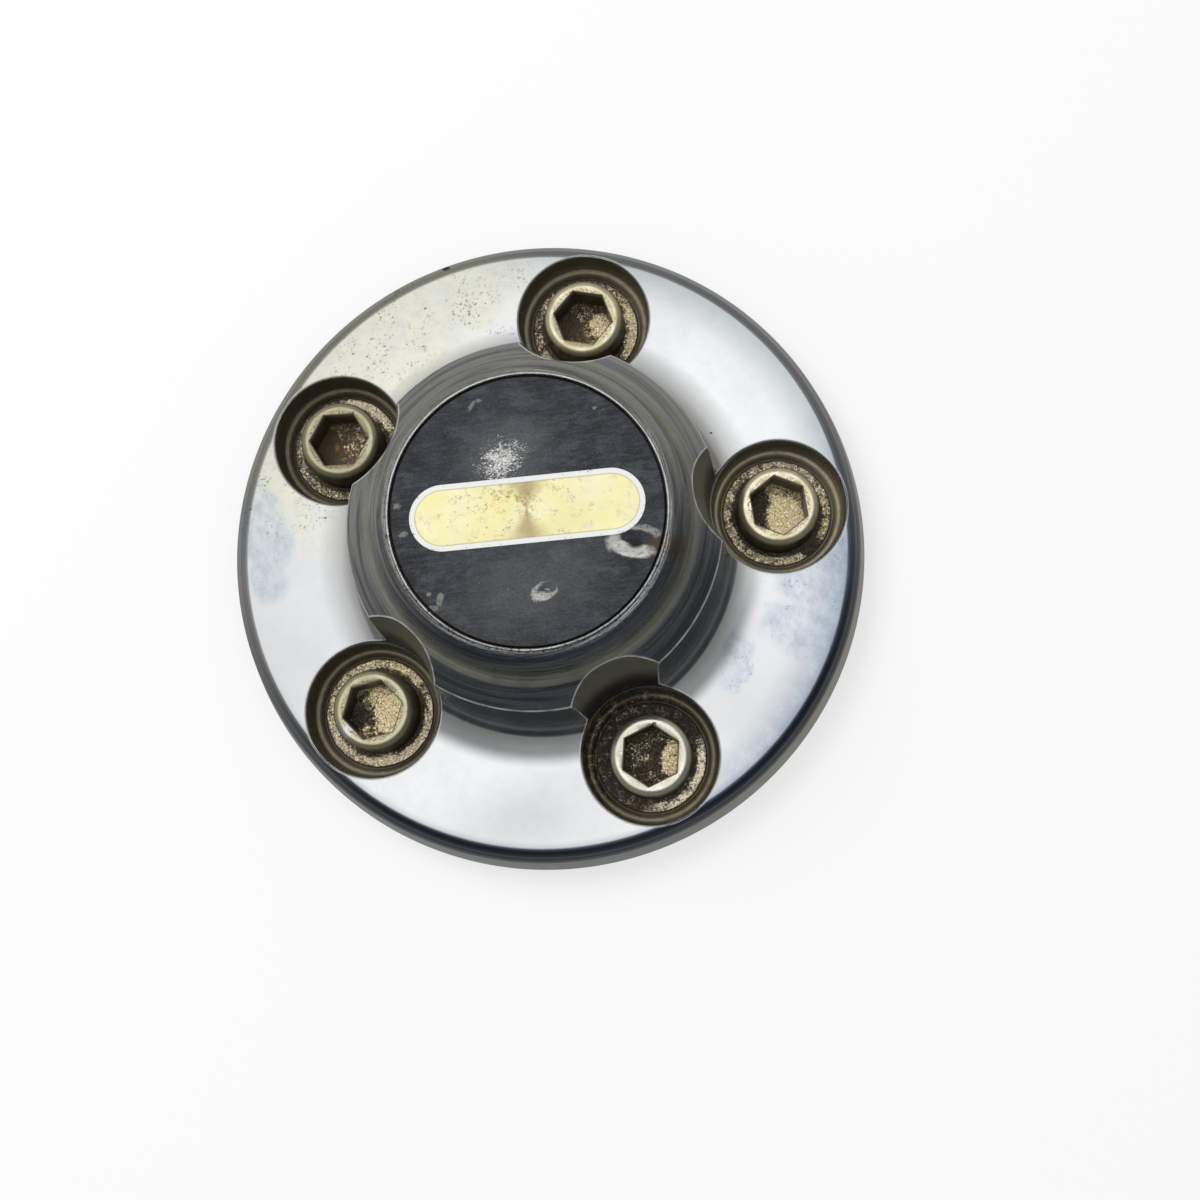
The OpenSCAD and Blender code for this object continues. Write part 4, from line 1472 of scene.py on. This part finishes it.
@dataclass
class Studio:
    """Floor, surround, lamp and camera, in metres and degrees.

    Attributes:
        camera_place: Place of the camera.
        camera_turn: Its turn in radians.
        lens: Its focal length in millimetres.
        sensor: Width of its sensor in millimetres.
        floor_r: Radius of the floor.
        floor_z: Height of the floor.
        floor_tone: Its colour.
        floor_glow: How much it glows to the camera, the gloss and clear pieces.
        under_r: Radius of the place that glows fully under the cap.
        cloth_z: Height of the ground cloth.
        tent_r: Radius of the tent and of the ground cloth.
        bright_turn: Direction of the room's bright side.
        opening_turn: Direction in which the opening of the tent lies.
        opening_tilt: How far the opening lies off the zenith.
        opening_half: Half of its angle.
        opening_soft: Half of the angle over which it fades.
        sky_level: Strength of the even light.
        lamp_place: Place of the soft lamp.
        lamp_wide: Its width.
        lamp_power: Its power in watts.
    """

    camera_place: tuple = (0.025827, -0.078404, 0.379326)
    camera_turn: tuple = (0.158381, 0.061822, -0.148297)
    lens: float = 44.388
    sensor: float = 36.0
    floor_r: float = 4.5
    floor_z: float = -0.0004
    floor_tone: tuple = (0.42, 0.42, 0.42)
    floor_glow: float = 0.6
    under_r: float = 0.079
    cloth_z: float = -0.0002
    tent_r: float = 3.5
    bright_turn: float = 100.0
    opening_turn: float = 112.0
    opening_tilt: float = 9.0
    opening_half: float = 20.0
    opening_soft: float = 8.0
    sky_level: float = 0.6
    lamp_place: tuple = (-0.5, 0.6, 0.9)
    lamp_wide: float = 0.7
    lamp_power: float = 6.0

    def camera(self) -> None:
        """Sets up the camera at the photograph's angle."""
        data = bpy.data.cameras.new("camera")
        data.lens = self.lens
        data.sensor_width = self.sensor
        data.sensor_fit = "HORIZONTAL"
        data.clip_start = 0.005
        data.clip_end = 50.0
        camera = bpy.data.objects.new("camera", data)
        camera.location = self.camera_place
        camera.rotation_euler = self.camera_turn
        bpy.context.scene.collection.objects.link(camera)
        bpy.context.scene.camera = camera

    def card(self, name: str, bm: bmesh.types.BMesh, material: bpy.types.Material, hidden: bool) -> None:
        """Adds a surface of the stage.

        Args:
            name: Its name.
            bm: Its shape, in metres.
            material: Its material.
            hidden: Whether only the gloss of the cap sees it.
        """
        material.cycles.emission_sampling = "NONE"
        card = loose(bm, name, [material])
        if hidden:
            for ray in ("camera", "diffuse", "shadow", "transmission"):
                setattr(card, "visible_" + ray, False)

    def floor(self) -> None:
        """Lays the pale floor, which keeps the cap's shadow and glows under the cap for views from below."""
        w = Weave("floor")
        under = w.math("LESS_THAN", w.vector("LENGTH", w.place), self.under_r / MM)
        glow = w.math("MAXIMUM", w.times(w.seen(), self.floor_glow), under, clamp=True)
        plain = w.add("BsdfDiffuse", self.floor_tone)
        pale = w.add("Emission", WHITE, glow)
        both = w.add("AddShader", plain.outputs[0], pale.outputs[0])
        behind = w.add("NewGeometry").outputs["Backfacing"]
        clear = w.add("BsdfTransparent")
        choice = w.add("MixShader", behind, both.outputs[0], clear.outputs[0])
        self.card("floor", disc(self.floor_r, self.floor_z), w.surface(choice), hidden=False)

    def sky(self) -> None:
        """Plain light from all round, on a white background."""
        world = bpy.data.worlds.new("studio")
        bpy.context.scene.world = world
        world.use_nodes = True
        nodes = Nodes(world.node_tree)
        light = nodes.add("Background", WHITE, self.sky_level)
        white = nodes.add("Background", WHITE, 1.0)
        choice = nodes.add("MixShader", nodes.seen(), light.outputs[0], white.outputs[0])
        nodes.add("OutputWorld", choice.outputs[0])

    def bright_side(self, w: Weave) -> Socket:
        """How much a direction lies towards the bright side of the room.

        Args:
            w: The material that asks.

        Returns:
            A number from 0 to 1.
        """
        x, y, _ = w.split(w.place)
        flat = w.vector("NORMALIZE", w.merge(x, y))
        turn = math.radians(self.bright_turn)
        return w.step(w.vector("DOT_PRODUCT", flat, (math.cos(turn), math.sin(turn), 0.0)), -0.55, 0.65)

    def tent(self) -> None:
        """Hangs the dark cloth round the set, with its bright opening overhead."""
        bm = bmesh.new()
        bmesh.ops.create_icosphere(bm, subdivisions=5, radius=self.tent_r)
        bmesh.ops.bisect_plane(
            bm, geom=bm.verts[:] + bm.edges[:] + bm.faces[:], plane_co=(0, 0, 0), plane_no=(0, 0, 1),
            clear_inner=True,
        )
        bmesh.ops.reverse_faces(bm, faces=bm.faces[:])

        # Cloth, by the share of the way down from the zenith
        w = Weave("tent_cloth")
        away = w.vector("NORMALIZE", w.place)
        tilt = w.times(w.math("ARCCOSINE", w.split(away)[2]), 2 / math.pi)
        dark = w.ramp(tilt, [
            (0.0, 0.3), (0.2, 0.2), (0.3, 0.12), (0.4, 0.05),
            (0.6, 0.03), (0.8, 0.04), (0.9, 0.11), (1.0, 0.05),
        ])
        light = w.ramp(tilt, [
            (0.0, 0.3), (0.3, 0.24), (0.45, 0.36), (0.6, 0.18), (0.7, 0.32), (0.8, 0.17), (1.0, 0.32),
        ])
        cool = w.mix(1.0, dark, (0.86, 0.97, 1.15), "MULTIPLY")
        warm = w.mix(1.0, light, (1.02, 1.0, 0.95), "MULTIPLY")
        cloth = w.mix(self.bright_side(w), cool, warm)

        # Soft opening
        lean = math.radians(self.opening_tilt)
        turn = math.radians(self.opening_turn)
        middle = (math.sin(lean) * math.cos(turn), math.sin(lean) * math.sin(turn), math.cos(lean))
        apart = w.math("ARCCOSINE", w.vector("DOT_PRODUCT", away, middle))
        near = math.radians(self.opening_half - self.opening_soft)
        far = math.radians(self.opening_half + self.opening_soft)
        bright = w.ramp(w.noise(0.2, 2.0, 0.5, away), [(0.3, 1.08), (0.7, 1.4)], "EASE")
        glow = w.add("Emission", w.mix(w.fall(apart, near, far), cloth, bright))
        self.card("tent", bm, w.surface(glow), hidden=True)

    def ground_cloth(self) -> None:
        """Lays the cloth that darkens away from the cap under the tent."""
        w = Weave("ground_cloth")
        away = w.times(w.vector("LENGTH", w.place), 1 / 400)
        dark = w.ramp(away, [(0.205, 0.30), (0.235, 0.12), (0.3, 0.06), (0.6, 0.045), (1.0, 0.08)])
        light = w.ramp(away, [(0.205, 0.36), (0.24, 0.32), (0.35, 0.3), (0.7, 0.3), (1.0, 0.32)])
        glow = w.add("Emission", w.mix(self.bright_side(w), dark, light))
        self.card("ground_cloth", disc(self.tent_r, self.cloth_z), w.surface(glow), hidden=True)

    def lamp(self) -> None:
        """Hangs one large soft lamp for the shadow."""
        data = bpy.data.lights.new("soft_lamp", "AREA")
        data.shape = "DISK"
        data.size = self.lamp_wide
        data.energy = self.lamp_power
        lamp = bpy.data.objects.new("soft_lamp", data)
        lamp.location = self.lamp_place
        lamp.rotation_euler = (-lamp.location).to_track_quat("-Z", "Y").to_euler()
        lamp.visible_glossy = False
        bpy.context.scene.collection.objects.link(lamp)

    def set_up(self) -> None:
        """Builds the whole stage."""
        self.camera()
        self.floor()
        self.sky()
        self.tent()
        self.ground_cloth()
        self.lamp()
        bpy.context.scene.view_settings.view_transform = "Standard"


def take_over(piece: bpy.types.Object, node: str) -> None:
    """Puts a piece in the place of its CAD node and reports it.

    Args:
        piece: The finished piece.
        node: Name of the CAD node.
    """
    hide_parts(node)
    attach(piece, "root")
    LOG.info("%s stands for %s: %d faces", piece.name, node, len(piece.data.polygons))


def main() -> None:
    """Builds the cap and its stage."""
    logging.basicConfig(level=logging.INFO, format="%(name)s: %(message)s")
    looks = (ChromePlate, PocketGrime, BossMetal, SocketGrime, BackPlastic)
    slots = [look().make() for look in looks]
    take_over(CapShell().make(slots), "cap_shell")
    take_over(EmblemDisc().make(EmblemFace().make()), "emblem_disc")
    take_over(SpringRing().make(SpringSteel().make()), "spring_ring")
    Studio().set_up()


if __name__ == "__main__":
    main()
